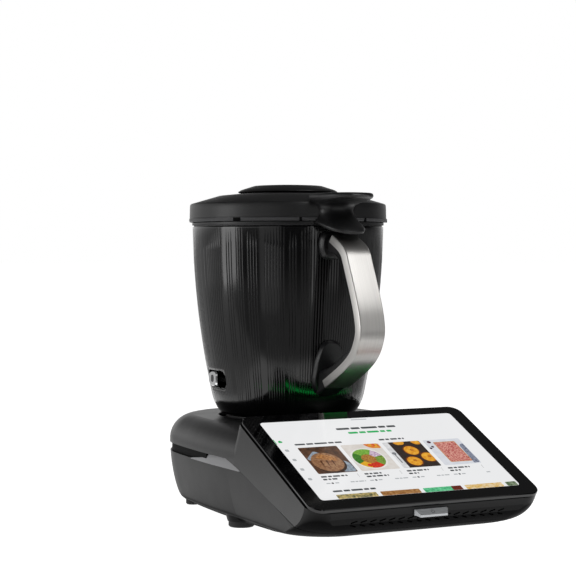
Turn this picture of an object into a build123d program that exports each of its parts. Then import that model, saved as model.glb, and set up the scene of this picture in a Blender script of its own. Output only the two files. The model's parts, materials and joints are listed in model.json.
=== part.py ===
from build123d import *
import os
from math import cos, degrees, radians, sin

# Heated food processor with a tilted touch screen: base, lift-out jug, lid and measuring cup.
# Millimetres, +Z up, floor at z = 0. Everything is drawn about the jug's axis and is moved forward
# or back by CENTRE_Y when it is written, so that the origin ends up under the middle of the object.

os.makedirs("parts", exist_ok=True)

# ---- driving dimensions: base -------------------------------------------------------------------
HALF_W = 126.5  # half the width of the screen housing, the widest part
FRONT = 285.0  # jug axis to the tip of the power tab
REAR = 120.0  # jug axis to the back of the base
CENTRE_Y = (FRONT - REAR) / 2
FLOOR_GAP = 8.0  # floor to the underside
REAR_R = 100.0  # big corner radius at the back
SIDE_TURN = 6.6  # degrees that the long sides turn in before the rear corner
SIDE_Y = -112.0  # where the long sides start to turn in
WALL = 2.6  # moulded casing wall
DECK_Z = 102.0  # top of the rear body
SHOULDER_R = 26.0  # rounding round the top of the rear body
BAND_LOW = 64.0  # lower edge of the side groove
BAND_HIGH = 73.0  # upper edge of the side groove
BAND_DEPTH = 2.0
SEAM = 0.6  # gap between the casing halves where they meet
KNEE_Y = -139.0  # where the groove turns into the sloping seam
BAND_END_Y = -108.0  # where the groove's upper edge starts down to the seam
NOSE_Y, NOSE_Z = -266.0, 21.0  # front end of the sloping seam
VENT_END_Y = -57.0  # front end of the open vent in the groove
LEDGE_W = 7.0  # sloped ledge that closes the groove in front of the vent

# ---- driving dimensions: screen -----------------------------------------------------------------
TILT = 25.53  # screen slope from horizontal, degrees
LIT_W, LIT_H = 217.0, 135.6  # lit area
LIT_LOW_Y, LIT_LOW_Z = -267.6, 51.3  # middle of the lit area's lower edge
GLASS_BELOW, GLASS_ABOVE = 15.3, 13.4  # glass past the lit area, down and up the slope
GLASS_W = 250.0
GLASS_R = 13.0
GLASS_T = 3.4
GLASS_GAP = 0.4  # shadow gap under the glass
PANEL_T = 5.0
TRAY_WALL, TRAY_GAP = 2.0, 0.2
HOUSING_R = 15.0  # corner radius of the screen housing

# ---- driving dimensions: jug --------------------------------------------------------------------
SLEEVE = [  # outer radius, height
    (72.5, 106.0),
    (79.3, 118.5),
    (84.0, 140.0),
    (89.6, 169.5),
    (95.5, 212.0),
    (99.3, 254.0),
    (101.1, 298.0),
]
SLEEVE_FOOT_R = 68.0
SLEEVE_Z = 103.0  # underside of the sleeve
SLEEVE_T = 2.6
RIM_T = 1.6  # steel rim resting on the sleeve
LIP_T, LIP_H = 1.0, 2.4  # black lip of the sleeve that stands round the steel rim
LINER = [(60.0, 120.0), (66.5, 142.0), (74.5, 172.0), (84.0, 214.0), (89.5, 256.0), (92.5, 298.0)]
LINER_T = 1.2
LINER_Z = 112.0  # underside of the steel pot
FOOT_R = 66.0
SEAT_Z = 94.0  # floor of the round seat in the deck
SEAT_R = 74.0
SEAT_RING_T = 3.0
LIFT_GAP = 0.1  # flat faces of bodies that lift apart
HANDLE_HALF_W = 14.5
SPAN = [i / 10 for i in range(11)]  # places along the handle where its inner curves are set out
STRIP_T = 1.8
STRIP_DEPTH = 8.5
HANDLE_OUT = [(-118, 292), (-143, 278), (-154.5, 258), (-173.5, 212), (-173, 185), (-151, 160), (-86, 127)]
HANDLE_IN = [(-92, 276), (-123, 268), (-139, 241), (-155.5, 210), (-154, 183), (-113, 161), (-80, 152)]

# ---- driving dimensions: drive ------------------------------------------------------------------
SHAFT_R = 5.0
RUN = 0.05  # radial clearance of a running fit
BEARING_R, BEARING_T = 13.0, 8.0
STATOR_R, STATOR_BORE, STATOR_Z, STATOR_H = 50.0, 33.0, 36.0, 36.0
ROTOR_GAP = 0.6
BRACKET_LOW, BRACKET_HIGH = 26.0, 78.0
FAN_R, FAN_Z, FAN_H = 38.0, 14.5, 7.0
DOG_R = 13.0
DOG_TEETH = 6
DOG_CLEAR = 0.35
DOG_Z, DOG_SOCKET = 98.5, 8.5  # mouth of the knife's socket, and its depth
BLADE_R, BLADE_Z, BLADE_T = 46.0, 124.0, 1.6
SHAFT_TOP = 100.0
CAGE_R, CAGE_T, CAGE_POST_R = 62.0, 3.0, 5.0
CHASSIS_R, CHASSIS_T = 84.0, 2.0
BUSH_R = 10.0
POT_SEAT_R = 50.0  # ring that carries the pot's floor

# ---- driving dimensions: lid and cup ------------------------------------------------------------
LID_R = 104.6
LID_Z = 305.0
LID_SHOULDER_Z = 323.6
LID_DECK = (73.6, 332.8)
LID_TOP = (53.0, 335.0)
LID_T = 2.8
WING_HALF_W, WAIST_HALF_W, BRIM_HALF_W = 27.0, 17.0, 22.0
HOLE_R = 36.0
CUP_GAP = 0.8
SEAL_T, SEAL_IN = 2.4, 0.5
CUP_LOW_Z = 303.0
CUP_CAP = [(52.9, 336.0), (49.6, 339.1), (36.3, 343.4), (0.0, 344.7)]
CUP_T = 2.2

# ---- driving dimensions: latch, tab and feet ----------------------------------------------------
LATCH_Z, LATCH_H = 134.0, 16.0
LATCH_START, LATCH_SPAN, LATCH_TRAVEL = 166.0, 16.0, 10.0  # degrees about the jug axis
LATCH_CLEAR = 1.0
LATCH_R = 76.0
TAB_ROOT, TAB_TIP = 18.0, 13.9  # half widths of the power tab
TAB_LOW, TAB_HIGH = 33.0, 38.5
TAB_ROOT_Y, TAB_BACK_Y = -279.4, -264.0
TAB_TIP_Z, TAB_T = 33.6, 2.0
TAB_CLEAR, TAB_TRAVEL = 0.35, 1.5
SPRING_R, SPRING_WIRE, SPRING_L, SPRING_TURNS = 2.6, 0.35, 9.0, 5
FEET = {"front_feet": (93.5, -77.0, 13.0), "rear_feet": (73.0, 82.0, 8.0)}  # x, y and pad radius
LEG_RIM, LEG_FLARE, LEG_LOW, LEG_TOP = 1.0, 4.0, 6.0, 20.0
CELL, CELL_IN = (30.0, 9.0, 6.0), 12.0  # load cell, and how far inboard of its foot it lies
SCREW_R, SCREW_L = 1.9, 9.0

# ---- driving dimensions: electronics and small openings -----------------------------------------
BOARD_HALF_W, BOARD_T, BOARD_Z = 98.0, 1.6, 28.0
BOARD_Y = (-232.0, -122.0)
POST_R, POST_IN = 3.5, 8.0
SUPPLY_XY, SUPPLY_H = ((-84.0, -18.0), (-190.0, -128.0)), 26.0
SINK_X, SINK_Y = (20.0, 64.0), (-165.0, -128.0)
SINK_BASE, SINK_H, SINK_FIN, SINK_FINS = 4.0, 18.0, 2.0, 8
SPEAKER_XY, SPEAKER_R, SPEAKER_T, MAGNET_R, MAGNET_T = (70.0, -205.0), 17.0, 5.0, 11.0, 6.0
INLET_HALF_W, INLET_HALF_H, INLET_DEPTH, INLET_Z = 13.0, 9.5, 24.0, 38.0
INLET_WALL, INLET_PIN, INLET_PITCH = 2.5, 9.0, 6.0
SOCKET = (27.0, 13.0)
SOCKET_Y, SOCKET_DEPTH, PIN_PITCH = 48.0, 10.0, 7.0
LIGHT_W, LIGHT_H, LIGHT_DEPTH, LIGHT_RISE = 150.0, 3.0, 9.0, -9.5
GRILLE_RISES = (-14.5, -18.9)
GRILLE_COUNT, GRILLE_PITCH, GRILLE_LEAN = 17, 10.0, 18.0
GRILLE_SLIT = (6.6, 12.0, 1.6)
GRILLE_PLATE = (176.0, 0.8, 10.0)


def save(name, shape):
    """Writes one named piece, moved so that the origin is under the object's middle."""
    shapes = shape if isinstance(shape, list) else [shape]
    solids = [Pos(0, CENTRE_Y, 0) * solid for part in shapes for solid in part.solids()]
    export_step(solids[0] if len(solids) == 1 else Compound(solids), f"parts/{name}.step")


def ring(outer, inner, low, height):
    """Round ring or washer about the jug's axis, standing on z = low."""
    flat = Circle(outer) - Circle(inner) if inner else Circle(outer)
    return Pos(0, 0, low) * extrude(flat, height)


def block(x, y, z):
    """Plain box from three (low, high) pairs."""
    size = [high - low for low, high in (x, y, z)]
    middle = [(high + low) / 2 for low, high in (x, y, z)]
    return Pos(*middle) * Box(*size)


def turned(*outline):
    """Solid of revolution about the jug's axis from edges drawn as (radius, height)."""
    return revolve(Plane.XZ * make_face(outline), Axis.Z)


def run(*points):
    """Straight edges from point to point."""
    return [Line(a, b) for a, b in zip(points, points[1:])]


def side_profile(points, half_width):
    """Prism across the width from (y, z) points."""
    face = make_face(Plane.YZ * Polyline(*points, close=True))
    return extrude(face, half_width, both=True)


def pair(x, y, make):
    """The same solid on the left and on the right, as a list."""
    return [Pos(side * x, y, 0) * make for side in (-1, 1)]


# ---- base casing --------------------------------------------------------------------------------
def plan(inset, front, corner, front_inset=None):
    """Base outline from above: rounded front corners, sides that turn in, big rear corners."""
    nose = inset if front_inset is None else front_inset
    turn = radians(SIDE_TURN)
    side_r = (REAR - REAR_R + REAR_R * sin(turn) - SIDE_Y) / sin(turn)
    front_line = Line((0, -front), (HALF_W - nose - corner, -front))
    corner_arc = RadiusArc(front_line @ 1, (HALF_W - nose, -front + corner), -corner)
    side = JernArc((HALF_W - inset, SIDE_Y), (0, 1), side_r - inset, SIDE_TURN)
    flank = Line(corner_arc @ 1, side @ 0)
    rear = JernArc(side @ 1, side % 1, REAR_R - inset, 90 - SIDE_TURN)
    back = Line(rear @ 1, (0, REAR - inset))
    half = [front_line, corner_arc, flank, side, rear, back]
    return make_face(half + [mirror(edge, about=Plane.YZ) for edge in half])


# height, side inset at the back, side inset at the front, front edge, corner radius
HULL = [
    (FLOOR_GAP, 25.0, 25.0, 214.0, 55.0),
    (14.0, 14.0, 11.0, 246.0, 48.0),
    (22.0, 8.5, 1.0, 270.0, 34.0),
    (34.0, 5.0, -1.0, 278.0, 24.0),
    (50.0, 2.0, -1.0, 283.0, 20.0),
    (76.0, 0.0, 0.0, 284.0, HOUSING_R),
]


def hull(inset):
    """Lower casing as a boat-like body, or its inside when pulled in by a wall."""
    top = HULL[-1][0]
    stretch = (top + 1 - FLOOR_GAP - inset) / (top - FLOOR_GAP) if inset else 1.0
    sections = []
    for z, back, nose, front, corner in HULL:
        level = FLOOR_GAP + inset + (z - FLOOR_GAP) * stretch
        outline = plan(back + inset, front - inset, corner - inset / 2, nose + inset)
        sections.append(Pos(0, 0, level) * outline)
    return loft(sections)


def screen_plane(up=0.0, rise=0.0):
    """Plane on the glass, at a distance up the slope from the lit area's lower edge."""
    t = radians(TILT)
    origin = (0, LIT_LOW_Y + up * cos(t) - rise * sin(t), LIT_LOW_Z + up * sin(t) + rise * cos(t))
    return Plane(origin, x_dir=(1, 0, 0), z_dir=(0, -sin(t), cos(t)))


GLASS_H = LIT_H + GLASS_BELOW + GLASS_ABOVE
GLASS_MID = LIT_H / 2 + (GLASS_ABOVE - GLASS_BELOW) / 2
LIP_OUT = 1.5  # housing past the glass, all round in the slope's direction
HOUSING_L = GLASS_H + 2 * LIP_OUT
BOW_Y = -225.0  # forward of this the housing's lower corners are rounded like a boat's bow
NOSE_SLOPE = 0.34  # the seam runs on to the front lip at this slope
SEAM_LINE = [(NOSE_Y - 54, NOSE_Z - 54 * NOSE_SLOPE), (NOSE_Y, NOSE_Z), (KNEE_Y, BAND_LOW)]


def below_seam():
    return side_profile(SEAM_LINE + [(REAR + 10, BAND_LOW), (REAR + 10, -10), (-320, -10)], 200)


def above_seam():
    raised = [(y, z + SEAM) for y, z in SEAM_LINE] + [(BAND_END_Y, BAND_HIGH), (REAR + 10, BAND_HIGH)]
    return side_profile(raised + [(REAR + 10, 200), (-320, 200)], 200)


def wedge(inset, drop):
    """Screen housing block: square to the glass, with rounded corners, deep enough for any cut."""
    outline = RectangleRounded(2 * (HALF_W - inset), HOUSING_L - 2 * inset, HOUSING_R - inset)
    body = extrude(screen_plane(GLASS_MID, -drop) * outline, -120)
    bow = body & block((-200, 200), (-400, BOW_Y), (0, 200)) & hull(inset)
    return bow + (body & block((-200, 200), (BOW_Y, SIDE_Y - inset / 2), (FLOOR_GAP, 200)))


def rear_body(inset):
    """Raised rear half of the casing that carries the jug, with its rounded shoulder."""
    low = BAND_LOW - (6 if inset else 4)
    radius = SHOULDER_R - inset
    sections = [(low, inset), (DECK_Z - inset - radius, inset)]
    for turn in (25, 48, 68, 84):
        t = radians(turn)
        sections.append((DECK_Z - inset - radius * (1 - sin(t)), inset + radius * (1 - cos(t))))
    body = loft([Pos(0, 0, z) * plan(pull, 170.0, 12.0) for z, pull in sections])
    return body & block((-200, 200), (-144 + inset, 200), (0, 200))


def slope_box(size, up, rise, across=0.0):
    """Box square to the glass: across, along the slope and through it."""
    return screen_plane(up, rise) * Pos(across, 0, 0) * Box(*size)


def tray_size(extra):
    return LIT_W + extra, LIT_H + extra


def light_slot(grow):
    size = (LIGHT_W + 2 * grow, LIGHT_DEPTH, LIGHT_H + 2 * grow)
    return slope_box(size, GLASS_MID + HOUSING_L / 2 + 0.5 - LIGHT_DEPTH / 2, LIGHT_RISE)


def grille_slits():
    """Two rows of slanted slits through the front lip, leaning opposite ways."""
    slits = []
    for row, rise in enumerate(GRILLE_RISES):
        lean = GRILLE_LEAN * (1 if row else -1)
        for i in range(GRILLE_COUNT):
            across = (i - (GRILLE_COUNT - 1) / 2) * GRILLE_PITCH
            place = screen_plane(-GLASS_BELOW, rise) * Pos(across, 0, 0) * Rot(0, lean, 0)
            slits.append(place * Box(*GRILLE_SLIT))
    return slits


def tab_prism():
    """Power tab: a short shelf that slopes down out of the front lip and narrows to its tip."""
    outline = [(TAB_BACK_Y, TAB_HIGH), (TAB_ROOT_Y, TAB_HIGH), (-FRONT, TAB_TIP_Z)]
    outline += [(-FRONT + 0.3, TAB_TIP_Z - TAB_T), (TAB_ROOT_Y - TAB_TRAVEL, TAB_LOW), (TAB_BACK_Y, TAB_LOW)]
    wide = [(-TAB_ROOT, TAB_BACK_Y), (-TAB_ROOT, TAB_ROOT_Y), (-TAB_TIP, -FRONT - 1)]
    wide += [(-x, y) for x, y in reversed(wide)]
    return side_profile(outline, 40) & extrude(make_face(Polyline(*wide, close=True)), 60)


def tab_hole():
    half = TAB_ROOT + TAB_CLEAR
    return block((-half, half), (-300, TAB_BACK_Y + 8), (TAB_LOW - TAB_CLEAR, TAB_HIGH + TAB_CLEAR))


def inlet_block(grow=0.0):
    x, z = INLET_HALF_W + grow, INLET_HALF_H + grow
    return block((-x, x), (REAR - INLET_DEPTH - grow, REAR + 5), (INLET_Z - z, INLET_Z + z))


def foot_leg(pad_r):
    low_r = pad_r + LEG_RIM
    return Pos(0, 0, (LEG_LOW + LEG_TOP) / 2) * Cone(low_r, low_r + LEG_FLARE, LEG_TOP - LEG_LOW)


def upper_housing():
    """Upper casing: raised deck with the jug's round seat, and the wedge that holds the screen."""
    drop = GLASS_T + GLASS_GAP
    shell = (rear_body(0) + wedge(0, drop)) & above_seam()
    shell -= rear_body(WALL) + wedge(WALL, drop + WALL)
    shell += ring(SEAT_R + WALL, 0, SEAT_Z - WALL, DECK_Z - 1 - SEAT_Z + WALL)
    shell -= ring(SEAT_R, 0, SEAT_Z, 40)
    shell -= ring(DOG_R + 5, 0, SEAT_Z - 10, 20)
    shell -= socket_block(0.5)
    opening = tray_size(2 * (TRAY_GAP + TRAY_WALL) + 1.0)
    shell -= slope_box((*opening, 30), LIT_H / 2, -12)
    shell -= light_slot(0.2)
    for slit in grille_slits():
        shell -= slit
    return shell - tab_hole()


def lower_shell():
    """Lower casing with its legs and the sloped ledge that closes the groove towards the front."""
    shell = (hull(0) - hull(WALL)) & below_seam()
    shell &= block((-HALF_W, HALF_W), (-400, 200), (0, 200))
    low = Pos(0, 0, BAND_LOW - 0.5) * plan(0.4, 170, 12)
    high = Pos(0, 0, BAND_HIGH) * plan(LEDGE_W, 170, 12)
    ledge = loft([low, high]) - Pos(0, 0, BAND_LOW - 1) * extrude(plan(LEDGE_W + WALL, 170, 12), 20)
    ledge &= block((-200, 200), (KNEE_Y, VENT_END_Y), (0, BAND_HIGH - SEAM))
    shell += ledge - above_seam()
    for x, y, pad_r in FEET.values():
        for leg in pair(x, y, foot_leg(pad_r)):
            shell += leg
    for screw in base_screws():
        shell -= screw
    return shell - inlet_block()


def vent_liner():
    """Dark slotted band that shows in the groove round the back."""
    band = extrude(plan(BAND_DEPTH, 170, 12) - plan(BAND_DEPTH + WALL, 170, 12), BAND_HIGH - BAND_LOW)
    band = Pos(0, 0, BAND_LOW) * band & block((-200, 200), (VENT_END_Y, 200), (0, 200))
    for turn in range(-84, 265, 6):
        reach = Rot(0, 0, turn) * Pos(110, 0, (BAND_LOW + BAND_HIGH) / 2) * Box(60, 6, 4)
        if VENT_END_Y + 8 < 110 * sin(radians(turn)) and abs(turn - 90) > 8:
            band -= reach
    return band


# ---- screen -------------------------------------------------------------------------------------
def screen_glass():
    plate = screen_plane(GLASS_MID, -GLASS_T) * RectangleRounded(GLASS_W, GLASS_H, GLASS_R)
    plate = extrude(plate, GLASS_T)
    top = plate.faces().sort_by(Axis(screen_plane().origin, screen_plane().z_dir))[-1]
    return chamfer(top.edges(), 0.7)


def display_panel():
    return slope_box((*tray_size(0), PANEL_T), LIT_H / 2, -GLASS_T - PANEL_T / 2)


def screen_tray():
    """Black tray under the glass that holds the panel, with a thin flange between glass and casing."""
    depth = PANEL_T + TRAY_WALL
    outer, inner = tray_size(2 * (TRAY_GAP + TRAY_WALL)), tray_size(2 * TRAY_GAP)
    tray = slope_box((*outer, depth), LIT_H / 2, -GLASS_T - depth / 2)
    outline = RectangleRounded(GLASS_W - 4, GLASS_H - 4, GLASS_R - 2)
    tray += extrude(screen_plane(GLASS_MID, -GLASS_T - GLASS_GAP) * outline, GLASS_GAP)
    return tray - slope_box((*inner, PANEL_T), LIT_H / 2, -GLASS_T - PANEL_T / 2)


def light_bar():
    return light_slot(0.0)


def front_grille():
    """Dark mesh plate behind the slits, its edges resting on the inside of the casing."""
    up = -GLASS_BELOW - LIP_OUT + 2 * WALL
    plate = slope_box(GRILLE_PLATE, up, sum(GRILLE_RISES) / 2) & hull(WALL) & wedge(WALL, 0)
    return plate - tab_hole()


# ---- feet and bottom ----------------------------------------------------------------------------
def feet(name):
    x, y, pad_r = FEET[name]
    pad = ring(pad_r, 0, 0, LEG_LOW)
    pad = chamfer(pad.edges().group_by(Axis.Z)[0], 1.2)
    return pair(x, y, pad)


def load_cells():
    cell = Pos(0, 0, LEG_TOP + CELL[2] / 2) * Box(*CELL)
    return [one for x, y, _ in FEET.values() for one in pair(x - CELL_IN, y, cell)]


def base_screws():
    screw = ring(SCREW_R, 0, FLOOR_GAP, SCREW_L) + ring(2 * SCREW_R, 0, FLOOR_GAP - SCREW_R, SCREW_R)
    return [one for y in (-40, 55) for one in pair(58, y, screw)]


def chassis_plate():
    plate = ring(CHASSIS_R, 0, FLOOR_GAP + WALL, CHASSIS_T)
    for screw in base_screws():
        plate -= screw
    for x, y, pad_r in FEET.values():
        for leg in pair(x, y, Pos(0, 0, 20) * Cylinder(pad_r + LEG_RIM + LEG_FLARE + 1, 60)):
            plate -= leg
    return plate


# ---- motor --------------------------------------------------------------------------------------
def motor_bracket():
    """Cage that holds both bearings and the stator above the chassis plate."""
    top = FLOOR_GAP + WALL + CHASSIS_T
    cage = ring(CAGE_R, 0, BRACKET_LOW, CAGE_T) + ring(CAGE_R, 0, BRACKET_HIGH, CAGE_T)
    for turn in (45, 135, 225, 315):
        post = Pos(0, 0, top) * extrude(Circle(CAGE_POST_R), BRACKET_HIGH - top)
        cage += Rot(0, 0, turn) * Pos(CAGE_R - CAGE_POST_R - 1, 0, 0) * post
    cage += ring(STATOR_R, STATOR_R - 8, BRACKET_LOW, STATOR_Z - BRACKET_LOW)
    for z in (BRACKET_LOW, BRACKET_HIGH):
        middle = z + CAGE_T / 2 - BEARING_T / 2
        cage += ring(BEARING_R + 3, 0, middle, BEARING_T)
        cage -= ring(BEARING_R, 0, middle - 1, BEARING_T + 2)
    return cage


def bearing(z):
    """Bearing with both races and the balls' groove drawn as one ring, running on the shaft."""
    middle = z + CAGE_T / 2 - BEARING_T / 2
    race = ring(BEARING_R, SHAFT_R + RUN, middle, BEARING_T)
    groove = ring(BEARING_R - 2.5, SHAFT_R + 2.5, middle + BEARING_T - 1, 2)
    return race - groove


def motor_stator():
    core = ring(STATOR_R, STATOR_BORE, STATOR_Z, STATOR_H)
    slot = Pos(STATOR_R - 9, 0, STATOR_Z + STATOR_H / 2) * Box(9, 7, STATOR_H + 2)
    for i in range(12):
        core -= Rot(0, 0, 30 * i) * slot
    return core


def motor_rotor():
    return ring(STATOR_BORE - ROTOR_GAP, SHAFT_R, STATOR_Z + 2, STATOR_H - 4)


def motor_shaft():
    return ring(SHAFT_R, 0, FAN_Z, SHAFT_TOP - FAN_Z)


def cooling_fan():
    fan = ring(12, SHAFT_R, FAN_Z, FAN_H) + ring(FAN_R, SHAFT_R, FAN_Z + FAN_H - 1.2, 1.2)
    blade = Pos((FAN_R + 11) / 2, 0, FAN_Z + FAN_H / 2) * Rot(0, 0, 18) * Box(FAN_R - 13, 1.6, FAN_H)
    for i in range(9):
        fan += Rot(0, 0, 40 * i) * (blade - ring(11, 0, 0, 40))
    return fan - ring(SHAFT_R, 0, 0, 60)


def dog_outline(grow):
    """Star that the motor turns and the knife shaft's socket fits over."""
    star = Circle(DOG_R - 4 + grow)
    for i in range(DOG_TEETH):
        turn = Rot(0, 0, 360 / DOG_TEETH * i)
        star += turn * Pos((DOG_R + grow) / 2, 0) * Rectangle(DOG_R + grow, 5 + 2 * grow)
    return star


def drive_coupling():
    low = SEAT_Z - 6
    star = Pos(0, 0, low) * extrude(dog_outline(0), DOG_Z + DOG_SOCKET - 1 - low)
    return star - ring(SHAFT_R, 0, low - 1, SHAFT_TOP - low + 1)


# ---- electronics --------------------------------------------------------------------------------
def main_board():
    return block((-BOARD_HALF_W, BOARD_HALF_W), BOARD_Y, (BOARD_Z, BOARD_Z + BOARD_T))


def board_posts():
    inside = hull(WALL)
    post = extrude(Circle(POST_R), BOARD_Z)
    places = [y + POST_IN * side for side, y in zip((1, -1), BOARD_Y)]
    return [one & inside for y in places for one in pair(BOARD_HALF_W - POST_IN, y, post)]


def heatsink():
    low = BOARD_Z + BOARD_T
    sink = block(SINK_X, SINK_Y, (low, low + SINK_BASE))
    for i in range(SINK_FINS):
        fin_x = SINK_X[0] + (SINK_X[1] - SINK_X[0] - SINK_FIN) * i / (SINK_FINS - 1)
        sink += block((fin_x, fin_x + SINK_FIN), SINK_Y, (low, low + SINK_H))
    return sink


def power_supply():
    low = BOARD_Z + BOARD_T
    body = block(*SUPPLY_XY, (low, low + SUPPLY_H))
    return fillet(body.edges().filter_by(Axis.Z), 3)


def speaker():
    place = Pos(*SPEAKER_XY, BOARD_Z + BOARD_T)
    magnet = Pos(0, 0, SPEAKER_T) * extrude(Circle(MAGNET_R), MAGNET_T)
    basket = extrude(Circle(SPEAKER_R), SPEAKER_T) + magnet
    return place * basket - place * Pos(0, 0, -1) * extrude(Circle(4), 4)


def mains_inlet():
    body = inlet_block() & hull(0)
    x, z = INLET_HALF_W - INLET_WALL, INLET_HALF_H - INLET_WALL
    return body - block((-x, x), (REAR - INLET_DEPTH + INLET_WALL, REAR + 9), (INLET_Z - z, INLET_Z + z))


def inlet_pins():
    low = REAR - INLET_DEPTH + INLET_WALL
    blade = block((-2, 2), (low, low + INLET_PIN), (INLET_Z - 1, INLET_Z + 1))
    return [Pos(x, 0, 0) * blade for x in (-INLET_PITCH, 0, INLET_PITCH)]


def socket_block(grow=0.0):
    x, y = SOCKET[0] / 2 + grow, SOCKET[1] / 2 + grow
    return block((-x, x), (SOCKET_Y - y, SOCKET_Y + y), (SEAT_Z - SOCKET_DEPTH, SEAT_Z + 2))


def contact_socket():
    slot = block((-11, 11), (SOCKET_Y - 3, SOCKET_Y + 3), (SEAT_Z - SOCKET_DEPTH + 2, SEAT_Z + 9))
    rim = (SOCKET[0] / 2 + 3, SOCKET[1] / 2 + 3)
    flange = block((-rim[0], rim[0]), (SOCKET_Y - rim[1], SOCKET_Y + rim[1]), (SEAT_Z, SEAT_Z + 2))
    return socket_block() + flange - slot


def seat_ring():
    return ring(SEAT_R - 3, SEAT_R - 11, SEAT_Z, SEAT_RING_T)


# ---- power tab ----------------------------------------------------------------------------------
def power_tab():
    tab = tab_prism()
    pad = Plane((0, TAB_BACK_Y, (TAB_LOW + TAB_HIGH) / 2), x_dir=(1, 0, 0), z_dir=(0, 1, 0))
    return tab + extrude(pad * Circle(SPRING_R - 1.2), 2)


def tab_spring():
    """Closed coil between the tab and its bracket."""
    height = SPRING_L / SPRING_TURNS
    coil = Helix(height, SPRING_L - SPRING_WIRE * 2, SPRING_R)
    wire = sweep(Plane(coil @ 0, z_dir=coil % 0) * Circle(SPRING_WIRE), coil)
    return Pos(0, TAB_BACK_Y + SPRING_WIRE, (TAB_LOW + TAB_HIGH) / 2) * Rot(-90, 0, 0) * wire


def tab_bracket():
    front = TAB_BACK_Y + SPRING_L
    return block((-10, 10), (front, front + 3), (0, TAB_HIGH + 3)) & hull(WALL)


# ---- jug ----------------------------------------------------------------------------------------
def sleeve_body():
    """Whole outside of the jug as one solid, used to trim what is fastened to it."""
    top = SLEEVE[-1]
    outer = Spline((SLEEVE_FOOT_R, SLEEVE_Z), *SLEEVE)
    return turned(outer, *run(top, (0, top[1]), (0, SLEEVE_Z), (SLEEVE_FOOT_R, SLEEVE_Z)))


def latch_sector(low_r, high_r, start, span, z, height):
    """Piece of a ring, given by its angles about the jug's axis."""
    corners = [(low_r, z), (high_r, z), (high_r, z + height), (low_r, z + height)]
    face = Plane.XZ * make_face(Polyline(*corners, close=True))
    return Rot(0, 0, start) * revolve(face, Axis.Z, revolution_arc=span)


def bowl_sleeve():
    top = SLEEVE[-1]
    outer = Spline((SLEEVE_FOOT_R, SLEEVE_Z), *SLEEVE)
    inner = Spline(*[(r - SLEEVE_T, z) for r, z in SLEEVE[1:]])
    lip = run(inner @ 0, (FOOT_R, SLEEVE_Z + SLEEVE_T), (FOOT_R, SLEEVE_Z), (SLEEVE_FOOT_R, SLEEVE_Z))
    high = top[1] + LIP_H
    collar = run(top, (top[0], high), (top[0] - LIP_T, high), (top[0] - LIP_T, top[1]), inner @ 1)
    sleeve = turned(outer, *collar, inner, *lip)
    slack = degrees(LATCH_CLEAR / SLEEVE[2][0])
    window = latch_sector(70, 110, LATCH_START - slack, LATCH_SPAN + LATCH_TRAVEL + 2 * slack,
                          LATCH_Z - LATCH_CLEAR, LATCH_H + 2 * LATCH_CLEAR)
    return sleeve - window


def bowl_liner():
    """Steel pot with a rolled rim that rests on the sleeve."""
    top_z = LINER[-1][1]
    rim_r = SLEEVE[-1][0] - LIP_T
    floor_r = LINER[0][0] - 7
    outer = Spline(*LINER)
    inner = Spline(*[(r - LINER_T, z) for r, z in LINER])
    under = Line((BUSH_R, LINER_Z), (floor_r, LINER_Z))
    corner = ThreePointArc((floor_r, LINER_Z), (floor_r + 5, LINER_Z + 2.6), LINER[0])
    rim_top = [(rim_r, top_z + RIM_T), (LINER[-1][0] - LINER_T, top_z + RIM_T)]
    rim = run(LINER[-1], (rim_r, top_z), *rim_top, inner @ 1)
    floor_z = LINER_Z + LINER_T
    bend = ThreePointArc(inner @ 0, (floor_r + 4, floor_z + 2.4), (floor_r - 0.5, floor_z))
    floor = run((floor_r - 0.5, floor_z), (BUSH_R, floor_z), (BUSH_R, LINER_Z))
    return turned(under, corner, outer, *rim, inner, bend, *floor)


def bowl_foot():
    low = SEAT_Z + SEAT_RING_T + LIFT_GAP
    foot = ring(FOOT_R, DOG_R + 4, low, 3)
    foot += ring(FOOT_R, FOOT_R - 4, low, SLEEVE_Z + SLEEVE_T - low)
    return foot + ring(POT_SEAT_R, POT_SEAT_R - 3, low, LINER_Z - low)


def handle_face(points, depth=0.0):
    """Side outline inside the handle's curve, or inside a curve set in by depth, shut off in the jug."""
    curve = Spline(*points)
    if depth:
        normals = [curve % t for t in SPAN]
        curve = Spline(*[curve @ t + Vector(-n.Y, n.X) * depth for t, n in zip(SPAN, normals)])
    high, low = curve @ 0, curve @ 1
    return make_face([curve, *run(low, (-60, low.Y), (-60, high.Y), high)])


def thick(face, half):
    """Gives a side outline its width across the handle."""
    return extrude(Plane.YZ * face, half, both=True)


def handle_strip():
    """Steel channel over the back of the handle."""
    strip = thick(handle_face(HANDLE_OUT), HANDLE_HALF_W)
    strip -= thick(handle_face(HANDLE_OUT, STRIP_T), HANDLE_HALF_W - STRIP_T)
    strip -= thick(handle_face(HANDLE_OUT, STRIP_DEPTH), HANDLE_HALF_W + 1)
    strip &= block((-50, 50), (-300, 0), (HANDLE_OUT[-1][1] + 3, HANDLE_OUT[0][1] - 3))
    return strip - sleeve_body() - turned(*run((0, 90), (95, 90), (104, 300), (0, 300), (0, 90)))


def handle_grip():
    grip = thick(handle_face(HANDLE_OUT, STRIP_T), HANDLE_HALF_W - STRIP_T)
    grip -= thick(handle_face(HANDLE_IN), HANDLE_HALF_W + 1)
    grip -= sleeve_body()
    for screw in handle_screws():
        grip -= screw
    return grip


def handle_screws():
    places = [(-103, 282), (-90, 138)]
    return [Plane((0, y, z), z_dir=(0, -1, 0)) * extrude(Circle(2.2), 9) for y, z in places]


def heater_ring():
    return ring(POT_SEAT_R - 4, POT_SEAT_R - 22, LINER_Z - 3, 3)


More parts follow.
